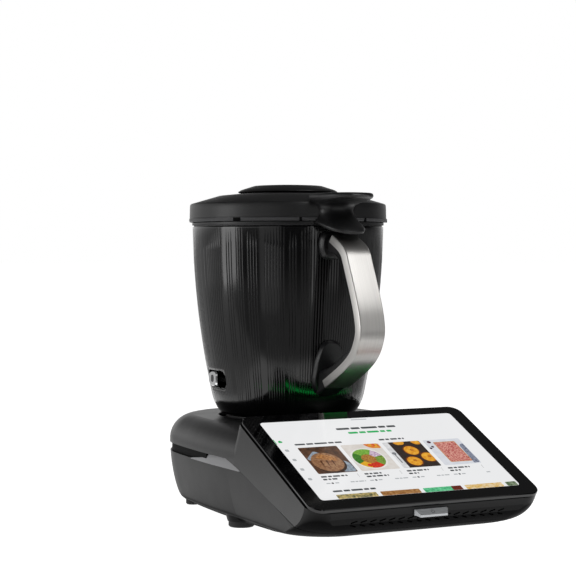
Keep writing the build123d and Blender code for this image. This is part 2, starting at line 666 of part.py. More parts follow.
def contact_pins():
    high = SEAT_Z + SEAT_RING_T + LIFT_GAP
    pin = block((-1.2, 1.2), (SOCKET_Y - 1.8, SOCKET_Y + 1.8), (SEAT_Z - SOCKET_DEPTH + 4, high))
    return [Pos(x, 0, 0) * pin for x in (-PIN_PITCH, 0, PIN_PITCH)]


def blade_bush():
    floor = LINER_Z + LINER_T
    return ring(BUSH_R, SHAFT_R + RUN, LINER_Z - 0.5, 8) + ring(BUSH_R + 9, SHAFT_R + RUN, floor, 2)


# ---- knife --------------------------------------------------------------------------------------
def blade_shaft():
    return ring(SHAFT_R, 0, DOG_Z + DOG_SOCKET, BLADE_Z + 8 - DOG_Z - DOG_SOCKET)


def drive_dog():
    dog = ring(DOG_R + DOG_CLEAR + 2, 0, DOG_Z, LINER_Z - 1 - DOG_Z)
    dog -= Pos(0, 0, DOG_Z - 1) * extrude(dog_outline(DOG_CLEAR), DOG_SOCKET + 1)
    return dog - ring(SHAFT_R, 0, DOG_Z + DOG_SOCKET, 30)


def blade_set():
    """Four knives on one hub, two swept up and two swept down."""
    hub = ring(11, 0, BLADE_Z - 3, 6)
    for i in range(4):
        rise = 14 if i % 2 else -6
        outline = [(4, -8), (BLADE_R - 10, -7), (BLADE_R, 3), (30, 7), (4, 7)]
        knife = extrude(make_face(Polyline(*outline, close=True)), BLADE_T)
        hub += Rot(0, 0, 90 * i) * Pos(0, 0, BLADE_Z) * Rot(10, -rise, 0) * knife
    return hub - ring(SHAFT_R, 0, 0, 300) - blade_nut()


def blade_nut():
    nut = Pos(0, 0, BLADE_Z + 3) * extrude(RegularPolygon(8, 6), 7)
    return nut - ring(SHAFT_R, 0, 0, BLADE_Z + 8)


# ---- latch --------------------------------------------------------------------------------------
def latch_lever():
    return latch_sector(LATCH_R, SLEEVE[2][0] + 2.0, LATCH_START, LATCH_SPAN, LATCH_Z, LATCH_H)


def latch_ring():
    return ring(LATCH_R, LATCH_R - 5, LATCH_Z + 4, 5)


# ---- lid and cup --------------------------------------------------------------------------------
def lid_tab():
    """Thumb tab over the handle: an upper wing, a waist and a lower wing, all rooted inside the lid."""
    wing = [(-90, 331), (-128, 331.5), (-155, 331), (-157, 328), (-150, 325.5), (-103, 314), (-90, 318)]
    upper = side_profile(wing, WING_HALF_W) & extrude(Pos(0, -118) * Ellipse(WING_HALF_W + 3, 41), 400)
    waist = side_profile([(-95, 325), (-112, 322), (-111, 308), (-103.5, 308), (-95, 311)], WAIST_HALF_W)
    brim = [(-102.3, 303), (-140, 291.5), (-143, 294), (-138, 299), (-106, 314), (-96, 316)]
    brim += [(-96, 307), (-102.3, 307)]
    lower = side_profile(brim, BRIM_HALF_W) & extrude(Pos(0, -100) * Ellipse(BRIM_HALF_W + 3, 44), 400)
    return upper + waist + lower


def lid_shell():
    """Outer lid: flared skirt, sloping deck and a flat top with the filling hole, one with its tab."""
    under = [(LID_R - LID_T, 280), (LID_R - LID_T, LID_Z), (LID_R - LID_T - 1, LID_SHOULDER_Z - 2)]
    under += [(LID_DECK[0], LID_DECK[1] - LID_T), (LID_TOP[0], LID_TOP[1] - LID_T), (0, LID_TOP[1] - LID_T)]
    over = [(LID_R, LID_Z), (LID_R - 0.9, LID_SHOULDER_Z), LID_DECK, LID_TOP, (0, LID_TOP[1])]
    body = turned(*run((0, LID_Z), *over, (0, LID_Z))) + lid_tab()
    return body - turned(*run((0, 280), *under, (0, 280))) - ring(HOLE_R, 0, 300, 60)


def lid_plate():
    """Inner lid: a collar round the filling hole and a plate that presses the seal down."""
    low = SLEEVE[-1][1] + RIM_T + SEAL_T
    plate = ring(LID_R - LID_T - 0.3, HOLE_R, low, 2.2)
    plate += ring(HOLE_R + 2.2, HOLE_R, low - 4, LID_TOP[1] - LID_T - low + 4)
    skirt_r = LINER[-1][0] - LINER_T - 2
    return plate + ring(skirt_r, skirt_r - 2.2, low - 8, 8)


def lid_seal():
    low = SLEEVE[-1][1] + RIM_T + LIFT_GAP
    skirt_r = LINER[-1][0] - LINER_T - 2
    return ring(SLEEVE[-1][0] - LIP_T - SEAL_IN, skirt_r, low, SEAL_T - LIFT_GAP)


def measuring_cup():
    rim, ridge, shoulder, crown = CUP_CAP
    over = [(HOLE_R - CUP_GAP, rim[1]), (rim[0] - 1, rim[1]), rim, ridge, shoulder, crown]
    inner = HOLE_R - CUP_GAP - CUP_T
    mouth = [(inner, CUP_LOW_Z), (HOLE_R - CUP_GAP, CUP_LOW_Z)]
    under = [(0, crown[1] - CUP_T), (inner, shoulder[1] - CUP_T), *mouth]
    return turned(*run(*over, *under, over[0]))


PIECES = {
    "upper_housing": upper_housing,
    "lower_shell": lower_shell,
    "vent_liner": vent_liner,
    "screen_glass": screen_glass,
    "display_panel": display_panel,
    "screen_tray": screen_tray,
    "light_bar": light_bar,
    "front_grille": front_grille,
    "front_feet": lambda: feet("front_feet"),
    "rear_feet": lambda: feet("rear_feet"),
    "load_cells": load_cells,
    "base_screws": base_screws,
    "chassis_plate": chassis_plate,
    "motor_bracket": motor_bracket,
    "lower_bearing": lambda: bearing(BRACKET_LOW),
    "upper_bearing": lambda: bearing(BRACKET_HIGH),
    "motor_stator": motor_stator,
    "motor_rotor": motor_rotor,
    "motor_shaft": motor_shaft,
    "cooling_fan": cooling_fan,
    "drive_coupling": drive_coupling,
    "main_board": main_board,
    "board_posts": board_posts,
    "heatsink": heatsink,
    "power_supply": power_supply,
    "speaker": speaker,
    "mains_inlet": mains_inlet,
    "inlet_pins": inlet_pins,
    "contact_socket": contact_socket,
    "seat_ring": seat_ring,
    "power_tab": power_tab,
    "tab_spring": tab_spring,
    "tab_bracket": tab_bracket,
    "bowl_sleeve": bowl_sleeve,
    "bowl_liner": bowl_liner,
    "bowl_foot": bowl_foot,
    "handle_strip": handle_strip,
    "handle_grip": handle_grip,
    "handle_screws": handle_screws,
    "heater_ring": heater_ring,
    "contact_pins": contact_pins,
    "blade_bush": blade_bush,
    "blade_shaft": blade_shaft,
    "drive_dog": drive_dog,
    "blade_set": blade_set,
    "blade_nut": blade_nut,
    "latch_lever": latch_lever,
    "latch_ring": latch_ring,
    "lid_shell": lid_shell,
    "lid_plate": lid_plate,
    "lid_seal": lid_seal,
    "measuring_cup": measuring_cup,
}

for name, make in PIECES.items():
    save(name, make())
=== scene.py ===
"""Looks of a heated food processor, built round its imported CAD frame."""

import json
import logging
import math
from dataclasses import dataclass, field
from enum import Enum

import bmesh
import bpy
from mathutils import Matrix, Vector


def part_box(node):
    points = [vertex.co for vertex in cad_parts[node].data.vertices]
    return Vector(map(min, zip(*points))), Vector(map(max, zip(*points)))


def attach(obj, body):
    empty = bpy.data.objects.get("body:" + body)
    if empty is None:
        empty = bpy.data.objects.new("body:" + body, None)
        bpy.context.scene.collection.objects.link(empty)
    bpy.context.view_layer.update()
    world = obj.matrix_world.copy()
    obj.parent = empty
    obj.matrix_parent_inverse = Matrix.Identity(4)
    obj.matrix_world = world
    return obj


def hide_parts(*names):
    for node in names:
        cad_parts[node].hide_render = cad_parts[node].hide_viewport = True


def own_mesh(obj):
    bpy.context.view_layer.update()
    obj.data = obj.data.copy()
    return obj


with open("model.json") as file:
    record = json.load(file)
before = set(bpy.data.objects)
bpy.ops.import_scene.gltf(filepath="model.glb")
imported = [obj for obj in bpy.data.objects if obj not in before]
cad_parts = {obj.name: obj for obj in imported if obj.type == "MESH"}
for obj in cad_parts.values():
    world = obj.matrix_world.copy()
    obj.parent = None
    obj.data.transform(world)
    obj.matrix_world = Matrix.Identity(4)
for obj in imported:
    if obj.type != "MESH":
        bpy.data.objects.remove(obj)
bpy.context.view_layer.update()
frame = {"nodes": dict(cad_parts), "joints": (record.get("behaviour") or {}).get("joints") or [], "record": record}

MM = 0.001
LOG = logging.getLogger("food_processor")
Point = tuple[float, float]


# ---- colour and node helpers --------------------------------------------------------------------
def linear(colour: str) -> tuple[float, float, float, float]:
    """Turns an sRGB hex colour into linear RGBA.

    Args:
        colour: six hex digits, with or without a leading hash sign.

    Returns:
        Linear red, green, blue and an alpha of one.
    """
    digits = colour.lstrip("#")
    channels = [int(digits[i:i + 2], 16) / 255 for i in (0, 2, 4)]
    light = [c / 12.92 if c <= 0.04045 else ((c + 0.055) / 1.055) ** 2.4 for c in channels]
    return light[0], light[1], light[2], 1.0


def add(tree: bpy.types.NodeTree, kind: str, settings: dict | None = None, links: dict | None = None):
    """Adds one node, sets it up and links what feeds it.

    Args:
        tree: the node tree to add to.
        kind: the node's type name.
        settings: attributes by name, and input values by socket name.
        links: output sockets by the name of the input that they feed.

    Returns:
        The new node.
    """
    node = tree.nodes.new(kind)
    for key, value in (settings or {}).items():
        if key in node.inputs.keys():
            node.inputs[key].default_value = value
        else:
            setattr(node, key, value)
    for key, socket in (links or {}).items():
        tree.links.new(socket, node.inputs[key])
    return node


def blank(name: str, **principled: object) -> tuple[bpy.types.Material, bpy.types.NodeTree, bpy.types.Node]:
    """Starts a material with one Principled shader.

    Args:
        name: the material's name.
        principled: shader inputs, with underscores for the spaces in their names.

    Returns:
        The material, its node tree and the shader.
    """
    material = bpy.data.materials.new(name)
    material.use_nodes = True
    tree = material.node_tree
    tree.nodes.clear()
    settings = {key.replace("_", " "): value for key, value in principled.items()}
    shader = add(tree, "ShaderNodeBsdfPrincipled", settings)
    add(tree, "ShaderNodeOutputMaterial", links={"Surface": shader.outputs["BSDF"]})
    return material, tree, shader


def grain(tree: bpy.types.NodeTree, size_mm: Vector | tuple[float, float, float], detail: float = 3.0):
    """Noise whose features measure size_mm along X, Y and Z.

    Args:
        tree: the node tree to add to.
        size_mm: feature size along each axis, in millimetres.
        detail: octaves of finer noise.

    Returns:
        The noise node.
    """
    place = add(tree, "ShaderNodeTexCoord")
    scale = [1.0 / (s * MM) for s in size_mm]
    mapping = add(tree, "ShaderNodeMapping", {"Scale": scale}, {"Vector": place.outputs["Object"]})
    return add(tree, "ShaderNodeTexNoise", {"Scale": 1.0, "Detail": detail},
               {"Vector": mapping.outputs["Vector"]})


# ---- finishes -----------------------------------------------------------------------------------
@dataclass(frozen=True)
class Moulded:
    """Injection-moulded plastic or rubber with a spark-eroded grain."""

    name: str
    colour: str
    worn: str
    roughness: float
    grain_mm: float = 0.5
    depth_mm: float = 0.02
    ior: float = 1.49
    gloss: float = 0.5
    # Gloss on faces that look down, set low to paint shade under the casing.
    shaded_underside_gloss: float = 0.5

    def make(self) -> bpy.types.Material:
        """Builds the material: slightly uneven colour and sheen, and fine grain in the bump."""
        material, tree, shader = blank(self.name, IOR=self.ior, Specular_IOR_Level=self.gloss)
        # Painted shade: faces that look down lose their gloss.
        if self.shaded_underside_gloss < self.gloss:
            self.shade_underside(tree, shader)
        cloud = grain(tree, (34.0, 34.0, 34.0), 2.0)
        tone = add(tree, "ShaderNodeMix", {"data_type": "RGBA"}, {"Factor": cloud.outputs["Fac"]})
        tone.inputs[6].default_value = linear(self.colour)
        tone.inputs[7].default_value = linear(self.worn)
        tree.links.new(tone.outputs[2], shader.inputs["Base Color"])
        sheen = add(tree, "ShaderNodeMapRange",
                    {"To Min": self.roughness - 0.04, "To Max": self.roughness + 0.05},
                    {"Value": cloud.outputs["Fac"]})
        tree.links.new(sheen.outputs["Result"], shader.inputs["Roughness"])
        fine = grain(tree, (self.grain_mm,) * 3)
        bump = add(tree, "ShaderNodeBump", {"Strength": 0.6, "Distance": self.depth_mm * MM},
                   {"Height": fine.outputs["Fac"]})
        tree.links.new(bump.outputs["Normal"], shader.inputs["Normal"])
        return material

    def shade_underside(self, tree: bpy.types.NodeTree, shader: bpy.types.Node) -> None:
        """Paints shade on faces that look down by taking most of their gloss away, so they stay dark."""
        surface = add(tree, "ShaderNodeTexCoord")
        up = add(tree, "ShaderNodeVectorMath", {"operation": "DOT_PRODUCT"},
                 {"Vector": surface.outputs["Normal"]})
        up.inputs[1].default_value = (0.0, 0.0, 1.0)
        level = add(tree, "ShaderNodeMapRange",
                    {"From Min": -0.5, "From Max": -0.02, "To Min": self.shaded_underside_gloss, "To Max": self.gloss},
                    {"Value": up.outputs["Value"]})
        tree.links.new(level.outputs["Result"], shader.inputs["Specular IOR Level"])


@dataclass(frozen=True)
class Metal:
    """Metal whose finish runs in fine lines, or is even where the lines are short."""

    name: str
    colour: str
    shade: str
    roughness: float
    lines_mm: tuple[float, float, float]
    depth_mm: float = 0.006
    spread: float = 0.08

    def make(self) -> bpy.types.Material:
        """Builds the material: lines that vary the tone, the gloss and the surface."""
        material, tree, shader = blank(self.name, Metallic=1.0)
        lines = grain(tree, self.lines_mm, 4.0)
        tone = add(tree, "ShaderNodeMix", {"data_type": "RGBA"}, {"Factor": lines.outputs["Fac"]})
        tone.inputs[6].default_value = linear(self.shade)
        tone.inputs[7].default_value = linear(self.colour)
        tree.links.new(tone.outputs[2], shader.inputs["Base Color"])
        gloss = add(tree, "ShaderNodeMapRange",
                    {"To Min": self.roughness - self.spread, "To Max": self.roughness + self.spread},
                    {"Value": lines.outputs["Fac"]})
        tree.links.new(gloss.outputs["Result"], shader.inputs["Roughness"])
        bump = add(tree, "ShaderNodeBump", {"Strength": 0.5, "Distance": self.depth_mm * MM},
                   {"Height": lines.outputs["Fac"]})
        tree.links.new(bump.outputs["Normal"], shader.inputs["Normal"])
        return material


@dataclass(frozen=True)
class Lit:
    """A lit area seen through cover glass: its own light, with the glass's gloss over it."""

    name: str
    colour: str
    other: str
    strength: float = 1.0
    patch_mm: float = 3.0
    contrast: float = 6.0
    roughness: float = 0.12

    def make(self) -> bpy.types.Material:
        """Builds the material: two colours in patches, shining evenly."""
        material, tree, shader = blank(self.name, Roughness=self.roughness, IOR=1.5,
                                       Base_Color=(0, 0, 0, 1), Emission_Strength=self.strength)
        cloud = grain(tree, (self.patch_mm,) * 3, 3.0)
        sharp = add(tree, "ShaderNodeMapRange",
                    {"From Min": 0.5 - 0.5 / self.contrast, "From Max": 0.5 + 0.5 / self.contrast},
                    {"Value": cloud.outputs["Fac"]})
        tone = add(tree, "ShaderNodeMix", {"data_type": "RGBA"}, {"Factor": sharp.outputs["Result"]})
        tone.inputs[6].default_value = linear(self.colour)
        tone.inputs[7].default_value = linear(self.other)
        tree.links.new(tone.outputs[2], shader.inputs["Emission Color"])
        return material


class Finish(Enum):
    """Every finish on the appliance, named for what it is made of, and for the light or shade painted into it
    where it has some.
    """

    # Satin black ABS casing: a fine grain that turns light into a soft grey sheen; faces that look down lose their
    # gloss, which paints shade on them.
    CASING = Moulded("satin_black_abs", "#0c0c0c", "#0e0e0f", 0.36, 0.6, 0.018, 1.49, 0.45, 0.01)
    # The lower half is the same resin with a slightly coarser grain, painted darker and duller than the casing
    # above as painted shade, and its faces that look down lose their gloss too.
    CASING_LOW = Moulded("grained_shaded_black_abs", "#070707", "#09090a", 0.42, 0.9, 0.03, 1.49, 0.26, 0.01)
    # Lid and cup: glass-filled black polyamide, duller than the casing.
    LID = Moulded("satin_black_polyamide", "#111112", "#141415", 0.42, 0.5, 0.015)
    # Sleeve: high-gloss black polycarbonate, so each rib draws its own streak.
    SLEEVE = Moulded("polished_black_polycarbonate", "#040405", "#060607", 0.11, 30.0, 0.0, 1.5)
    # Bevel under the lid: fine satin, painted a shade lighter than the lid as a painted reflection of the pale
    # floor below it.
    BEVEL = Moulded("satin_polyamide_painted_reflection", "#38383a", "#404042", 0.36, 0.6, 0.015)
    # Ledge that closes the groove: the same resin, painted a lighter grey as a painted highlight for the light
    # falling on its upward slope.
    LEDGE = Moulded("satin_abs_painted_highlight", "#9a9a9c", "#a2a2a4", 0.42, 0.8, 0.02)
    # Handle grip: satin black polyamide.
    GRIP = Moulded("black_grip_polyamide", "#151516", "#18181a", 0.38, 0.5, 0.015)
    # Near-black with almost no gloss; it also serves the pieces that paint shade over the vent and in the lid's
    # notches.
    VENT = Moulded("dull_black_polypropylene", "#020202", "#040404", 0.7, 0.8, 0.03, 1.49, 0.08)
    RUBBER = Moulded("black_silicone_rubber", "#0b0b0b", "#111111", 0.62, 0.7, 0.03, 1.41)
    SEAL = Moulded("grey_silicone_rubber", "#3a3a3b", "#444446", 0.5, 0.7, 0.02, 1.41)
    GLASS = Moulded("black_backed_glass", "#050506", "#060607", 0.07, 60.0, 0.0, 1.52)
    BOARD = Moulded("green_solder_mask", "#0f3d20", "#15502b", 0.35, 1.2, 0.04)
    # Handle strip: stainless steel brushed along its length.
    STEEL_BRUSHED = Metal("brushed_stainless_steel", "#cfcdca", "#a9a7a4", 0.33, (0.35, 60.0, 60.0), 0.008)
    # Pot and knives: stainless steel, drawn and satin polished.
    STEEL_POT = Metal("satin_stainless_steel", "#d2d1ce", "#b7b6b3", 0.26, (30.0, 30.0, 0.5), 0.006)
    CHROME = Metal("bright_chrome", "#e8e9ea", "#d4d5d6", 0.09, (8.0, 8.0, 8.0), 0.0, 0.03)
    ALUMINIUM = Metal("blasted_anodised_aluminium", "#b9bbbd", "#a4a6a8", 0.38, (0.5, 0.5, 0.5), 0.012)
    ZINC = Metal("zinc_plated_steel", "#9a9b9e", "#86878b", 0.34, (6.0, 6.0, 6.0), 0.01)
    CORE = Metal("laminated_core_steel", "#6a655f", "#4f4b46", 0.5, (40.0, 40.0, 0.6), 0.03)
    BRASS = Metal("bright_brass", "#c9a455", "#b38d42", 0.25, (4.0, 4.0, 4.0), 0.006)
    # Light bar: opal acrylic lit from behind by green diodes.
    GLOW = Lit("green_lit_opal_acrylic", "#1fe060", "#19c653", 5.0, 20.0)
    PAGE = Lit("lit_white_page", "#eff0f1", "#f3f3f4", 0.93, 60.0, 1.2)

    def get(self) -> bpy.types.Material:
        """Returns the material, made the first time that it is asked for."""
        return bpy.data.materials.get(self.value.name) or self.value.make()


# ---- mesh helpers -------------------------------------------------------------------------------
def piece(name: str, mesh: bmesh.types.BMesh, finish: Finish | bpy.types.Material, body: str,
          stands_for: tuple[str, ...] = (), crease: float = 32.0) -> bpy.types.Object:
    """Turns a finished bmesh into a piece of the appliance.

    Args:
        name: the piece's name.
        mesh: its geometry, in metres, in the frame's own place.
        finish: what it is made of.
        body: the CAD body that it rides on.
        stands_for: CAD nodes that it takes the place of.
        crease: edges sharper than this many degrees stay sharp.

    Returns:
        The new object.
    """
    bmesh.ops.recalc_face_normals(mesh, faces=mesh.faces)
    data = bpy.data.meshes.new(name)
    mesh.to_mesh(data)
    mesh.free()
    thing = bpy.data.objects.new(name, data)
    bpy.context.scene.collection.objects.link(thing)
    data.materials.append(finish.get() if isinstance(finish, Finish) else finish)
    data.shade_smooth()
    data.set_sharp_from_angle(angle=math.radians(crease))
    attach(thing, body)
    if stands_for:
        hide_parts(*stands_for)
    LOG.info("%s: %d faces, %s, on %s", name, len(data.polygons), data.materials[0].name, body)
    return thing


def lathe(profile: list[Point], axis_y: float, turns: int = 144, ripple=None) -> bmesh.types.BMesh:
    """Turns a closed outline about the jug's axis.

    Args:
        profile: (radius, height) in millimetres, in order round the section.
        axis_y: place of the axis, in metres.
        turns: steps round the circle.
        ripple: optional function (angle, index, radius) that gives the radius there.

    Returns:
        The turned mesh.
    """
    mesh = bmesh.new()
    rings = []
    for i, (radius, height) in enumerate(profile):
        if radius < 1e-6:
            rings.append([mesh.verts.new((0, axis_y, height * MM))] * turns)
            continue
        ring = []
        for k in range(turns):
            angle = 2 * math.pi * k / turns
            r = (ripple(angle, i, radius) if ripple else radius) * MM
            ring.append(mesh.verts.new((r * math.cos(angle), axis_y + r * math.sin(angle), height * MM)))
        rings.append(ring)
    bridge(mesh, rings, closed=True)
    return mesh


def bridge(mesh: bmesh.types.BMesh, rings: list[list], closed: bool = False) -> None:
    """Joins a row of vertex rings with faces, leaving out the doubled corners of poles.

    Args:
        mesh: the mesh that holds the rings.
        rings: rings of equal length, each closed on itself.
        closed: joins the last ring to the first.
    """
    pairs = list(zip(rings, rings[1:])) + ([(rings[-1], rings[0])] if closed else [])
    for low, high in pairs:
        for k in range(len(low)):
            nxt = (k + 1) % len(low)
            corners = list(dict.fromkeys([low[k], low[nxt], high[nxt], high[k]]))
            if len(corners) > 2:
                mesh.faces.new(corners)


def capped(mesh: bmesh.types.BMesh, rings: list[list]) -> None:
    """Joins a row of vertex rings with faces and closes both ends."""
    bridge(mesh, rings)
    mesh.faces.new(rings[0])
    mesh.faces.new(rings[-1])


def smooth_line(points: list[Point], steps: int) -> list[Vector]:
    """Smooth curve through points, by Catmull-Rom spans.

    Args:
        points: (a, b) pairs to pass through.
        steps: places per span.

    Returns:
        The curve's places in order.
    """
    pts = [Vector(p) for p in points]
    pts = [pts[0] * 2 - pts[1]] + pts + [pts[-1] * 2 - pts[-2]]
    line = []
    for a, b, c, d in zip(pts, pts[1:], pts[2:], pts[3:]):
        for i in range(steps):
            t = i / steps
            line.append(0.5 * (2 * b + (c - a) * t + (2 * a - 5 * b + 4 * c - d) * t ** 2
                               + (3 * b - a - 3 * c + d) * t ** 3))
    return line + [pts[-2]]


def rounded(points: list[Point], radius: float, steps: int = 5) -> list[Point]:
    """Closed outline with every corner rounded.

    Args:
        points: corners in order.
        radius: how far from each corner the rounding starts.
        steps: places on each rounding.

    Returns:
        The rounded outline.
    """
    out = []
    for i, corner in enumerate(points):
        here = Vector(corner)
        before, after = Vector(points[i - 1]) - here, Vector(points[(i + 1) % len(points)]) - here
        reach = min(radius, before.length * 0.49, after.length * 0.49)
        start, end = here + before.normalized() * reach, here + after.normalized() * reach
        for k in range(steps + 1):
            t = k / steps
            spot = start * (1 - t) ** 2 + here * 2 * t * (1 - t) + end * t ** 2
            out.append((spot.x, spot.y))
    return out


def rectangle(x: float, y: float, width: float, height: float, radius: float, steps: int = 5) -> list[Point]:
    """Outline of a rounded rectangle from its lower left corner, in millimetres."""
    return rounded([(x, y), (x + width, y), (x + width, y + height), (x, y + height)], radius, steps)


def disc(x: float, y: float, radius: float, steps: int = 28) -> list[Point]:
    """Outline of a circle, in millimetres."""
    turn = 2 * math.pi / steps
    return [(x + radius * math.cos(turn * k), y + radius * math.sin(turn * k)) for k in range(steps)]


def slab(mesh: bmesh.types.BMesh, outline: list[Point], place, low: float, high: float,
         bevel: float = 0.0) -> None:
    """Adds a flat plate with an optional bevelled upper edge.

    Args:
        mesh: the mesh to add to.
        outline: closed outline in millimetres.
        place: function (x, y, rise) in millimetres that gives a point in metres.
        low: rise of the underside.
        high: rise of the top.
        bevel: width of the sloping edge.
    """
    centre = Vector((sum(p[0] for p in outline), sum(p[1] for p in outline))) / len(outline)
    levels = [(low, 0.0), (high - bevel, 0.0)] + ([(high, bevel)] if bevel else [])
    rings = []
    for rise, pull in levels:
        ring = []
        for x, y in outline:
            out = Vector((x, y)) - centre
            shrink = 1 - pull / max(out.length, 1e-6)
            spot = centre + out * shrink
            ring.append(mesh.verts.new(place(spot.x, spot.y, rise)))
        rings.append(ring)
    capped(mesh, rings)


# ---- where things are ---------------------------------------------------------------------------
@dataclass
class Places:
    """Shared places: the jug's axis, read from the frame, and the slope of the screen."""

    axis_y: float = 0.0
    tilt: float = math.radians(25.53)
    lit_low: tuple[float, float, float] = (0.0, -185.1, 51.3)

    def __post_init__(self) -> None:
        """Reads the jug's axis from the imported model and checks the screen's slope against it."""
        joint = next(j for j in frame["joints"] if j["name"] == "motor_spin")
        self.axis_y = joint["pos_m"][1]
        self.lit_low = Vector(self.lit_low) * MM
        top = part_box("screen_glass")[1]
        out = (top - self.lit_low).dot(Vector((0, -math.sin(self.tilt), math.cos(self.tilt))))
        LOG.info("axis at y %.4f m, glass edge %.2f mm off the screen's plane", self.axis_y, out / MM)

    def at(self, x: float, y: float, z: float) -> Vector:
        """Place in metres, from millimetres about the jug's axis."""
        return Vector((x * MM, self.axis_y + y * MM, z * MM))

    def on_screen(self, x: float, up: float, rise: float) -> Vector:
        """Place on the screen: x across, up the slope from the lit area's lower edge, rise out of it."""
        c, s = math.cos(self.tilt), math.sin(self.tilt)
        return self.lit_low + Vector((x, up * c - rise * s, up * s + rise * c)) * MM


# ---- screen -------------------------------------------------------------------------------------
@dataclass
class Display:
    """The lit page on the screen: generic headings, marks and pictures of food."""

    places: Places
    width: float = 217.0
    height: float = 135.6
    lift: float = 0.03
    margin: float = 18.2
    card: Point = (42.0, 45.8)
    pitch: float = 46.2
    card_top: float = 47.7
    next_row: float = 128.6

    def spot(self, x: float, down: float, rise: float) -> Vector:
        """Place on the page: x from its left edge, down from its top edge, in millimetres."""
        return self.places.on_screen(x - self.width / 2, self.height - down, rise)

    def show(self, name: str, outlines: list[list[Point]], finish, level: int) -> None:
        """Adds flat shapes that share one colour.

        Args:
            name: the piece's name.
            outlines: closed outlines in millimetres from the page's top left.
            finish: what they look like.
            level: how many layers above the page they lie.
        """
        mesh = bmesh.new()
        for outline in outlines:
            slab(mesh, outline, self.spot, 0.0, self.lift * (level + 1))
        piece(name, mesh, finish, "base")

    def lines(self) -> None:
        """Headings and captions as plain bars, in place of words."""
        ink, grey, green = [
            Lit(f"lit_{word}_ink", shade, other, 0.9, 1.2, 1.6).make()
            for word, shade, other in (("dark", "#3a3c3e", "#5a5d60"), ("grey", "#a9adb0", "#c3c6c8"),
                                       ("green", "#23a757", "#3fbb6e"))
        ]
        dark = [self.words(75, 17, 67, 3.4), self.words(self.margin, 40.6, 51, 2.6),
                self.words(self.margin + 2 * self.pitch, 40.6, 28.5, 2.6),
                self.words(self.margin, 121.5, 45, 2.8)]
        for i, (first, second) in enumerate(((28, 17), (20, 24), (24.5, 11), (25, 12))):
            x = self.margin + self.pitch * i
            dark += [self.words(x, 97.3, first, 2.4), self.words(x, 101.8, second, 2.4)]
            dark.append([disc(x + 6.6, 109.7, 1.25, 14)])
            dark.append([disc(x + self.card[0] - 3, 97.6 + 1.9 * k, 0.42, 10) for k in range(3)])
        self.show("page_dark_marks", [shape for group in dark for shape in group], ink, 1)
        pale = [[rectangle(99.5, 2.3, 18, 1.5, 0.7)]]
        for i, tail in enumerate((16.5, 15, 15, 4.5)):
            x = self.margin + self.pitch * i
            pale += [self.words(x, 108.8, 4.6, 1.7), self.words(x + 9.2, 108.8, 4.2, 1.7)]
            pale.append(self.words(x + self.card[0] - tail, 108.8, tail, 1.7))
        for row, down in enumerate((51, 67.5, 84, 100.5)):
            pale.append([rectangle(3.8, down - 1.9, 3.9, 3.9, 1.1 + 0.4 * (row % 2))])
        self.show("page_grey_marks", [shape for group in pale for shape in group], grey, 1)
        marks = [self.words(84.5, 25, 49, 3.3), [rectangle(0.1, 30.8, 0.8, 9, 0.35)]]
        marks.append([rounded([(5.8, 33.0), (8.0, 35.0), (7.6, 37.2), (4.0, 37.2), (3.6, 35.0)], 0.4)])
        self.show("page_green_marks", [shape for group in marks for shape in group], green, 1)

    def words(self, x: float, down: float, length: float, tall: float) -> list[list[Point]]:
        """A line of text as short plain bars with gaps, from its left end."""
        bars, at, i = [], x, 0
        while at < x + length - 1:
            run = min((0.22, 0.15, 0.27, 0.12)[i % 4] * max(length, 20), x + length - at)
            bars.append(rectangle(at, down, run, tall, tall * 0.4, 3))
            at, i = at + run + tall * 0.45, i + 1
        return bars

    def pictures(self) -> None:
        """Four pictures of food, drawn with plain shapes."""
        w, h = self.card
        for column, (shade, other) in enumerate((("#6b4a35", "#3a2920"), ("#e6e2dd", "#d8d0c8"),
                                                 ("#2b2421", "#3b302b"), ("#e4e6ec", "#d2d6de"))):
            backing = Lit(f"picture_ground_{column}", shade, other, 0.9, 6.0, 2.0).make()
            card = rectangle(self.margin + self.pitch * column, self.card_top, w, h, 1.6)
            self.show(f"picture_ground_{column}", [card], backing, 1)
        self.bread()
        self.bowl_of_greens()
        self.custards()
        self.berry_tart()

    def paint(self, column: int, name: str, outlines: list[list[Point]], shade: str, other: str, level: int,
              patch: float = 1.6) -> None:
        """Adds part of a column's picture in two colours.

        Args:
            column: which card it is on, counted from the left.
            name: the piece's name, without the picture_ in front.
            outlines: closed outlines in millimetres from the card's top left.
            shade: the first colour.
            other: the second colour.
            level: how many layers above the page it lies.
            patch: size of the patches of colour in millimetres.
        """
        x, name = self.margin + self.pitch * column, f"picture_{name}"
        moved = [[(x + a, self.card_top + b) for a, b in outline] for outline in outlines]
        self.show(name, moved, Lit(name, shade, other, 0.9, patch, 3.0).make(), level)

    def bread(self) -> None:
        """A round floured loaf on a cloth."""
        cloth = rounded([(0.3, 20), (13, 7), (41, 30), (41.5, 45), (29, 45)], 3)
        self.paint(0, "cloth", [cloth], "#a3b0bd", "#75828f", 2, 3.0)
        self.paint(0, "loaf_shadow", [disc(20, 29.5, 16.6)], "#2c1c14", "#3b271c", 3)
        self.paint(0, "loaf", [disc(19, 27, 16.2)], "#7b5036", "#a9825f", 4, 3.2)
        crown = rounded([(9, 19), (17, 13), (28, 17), (32, 26), (21, 24)], 4)
        self.paint(0, "loaf_crown", [crown], "#c98f55", "#7d4c2c", 5, 2.2)
        cuts = [rounded([(12 + 6 * i, 24), (14 + 6 * i, 24), (12 + 6 * i, 37)], 0.8) for i in range(3)]
        self.paint(0, "loaf_cuts", cuts, "#4a2c1b", "#5d3923", 6)

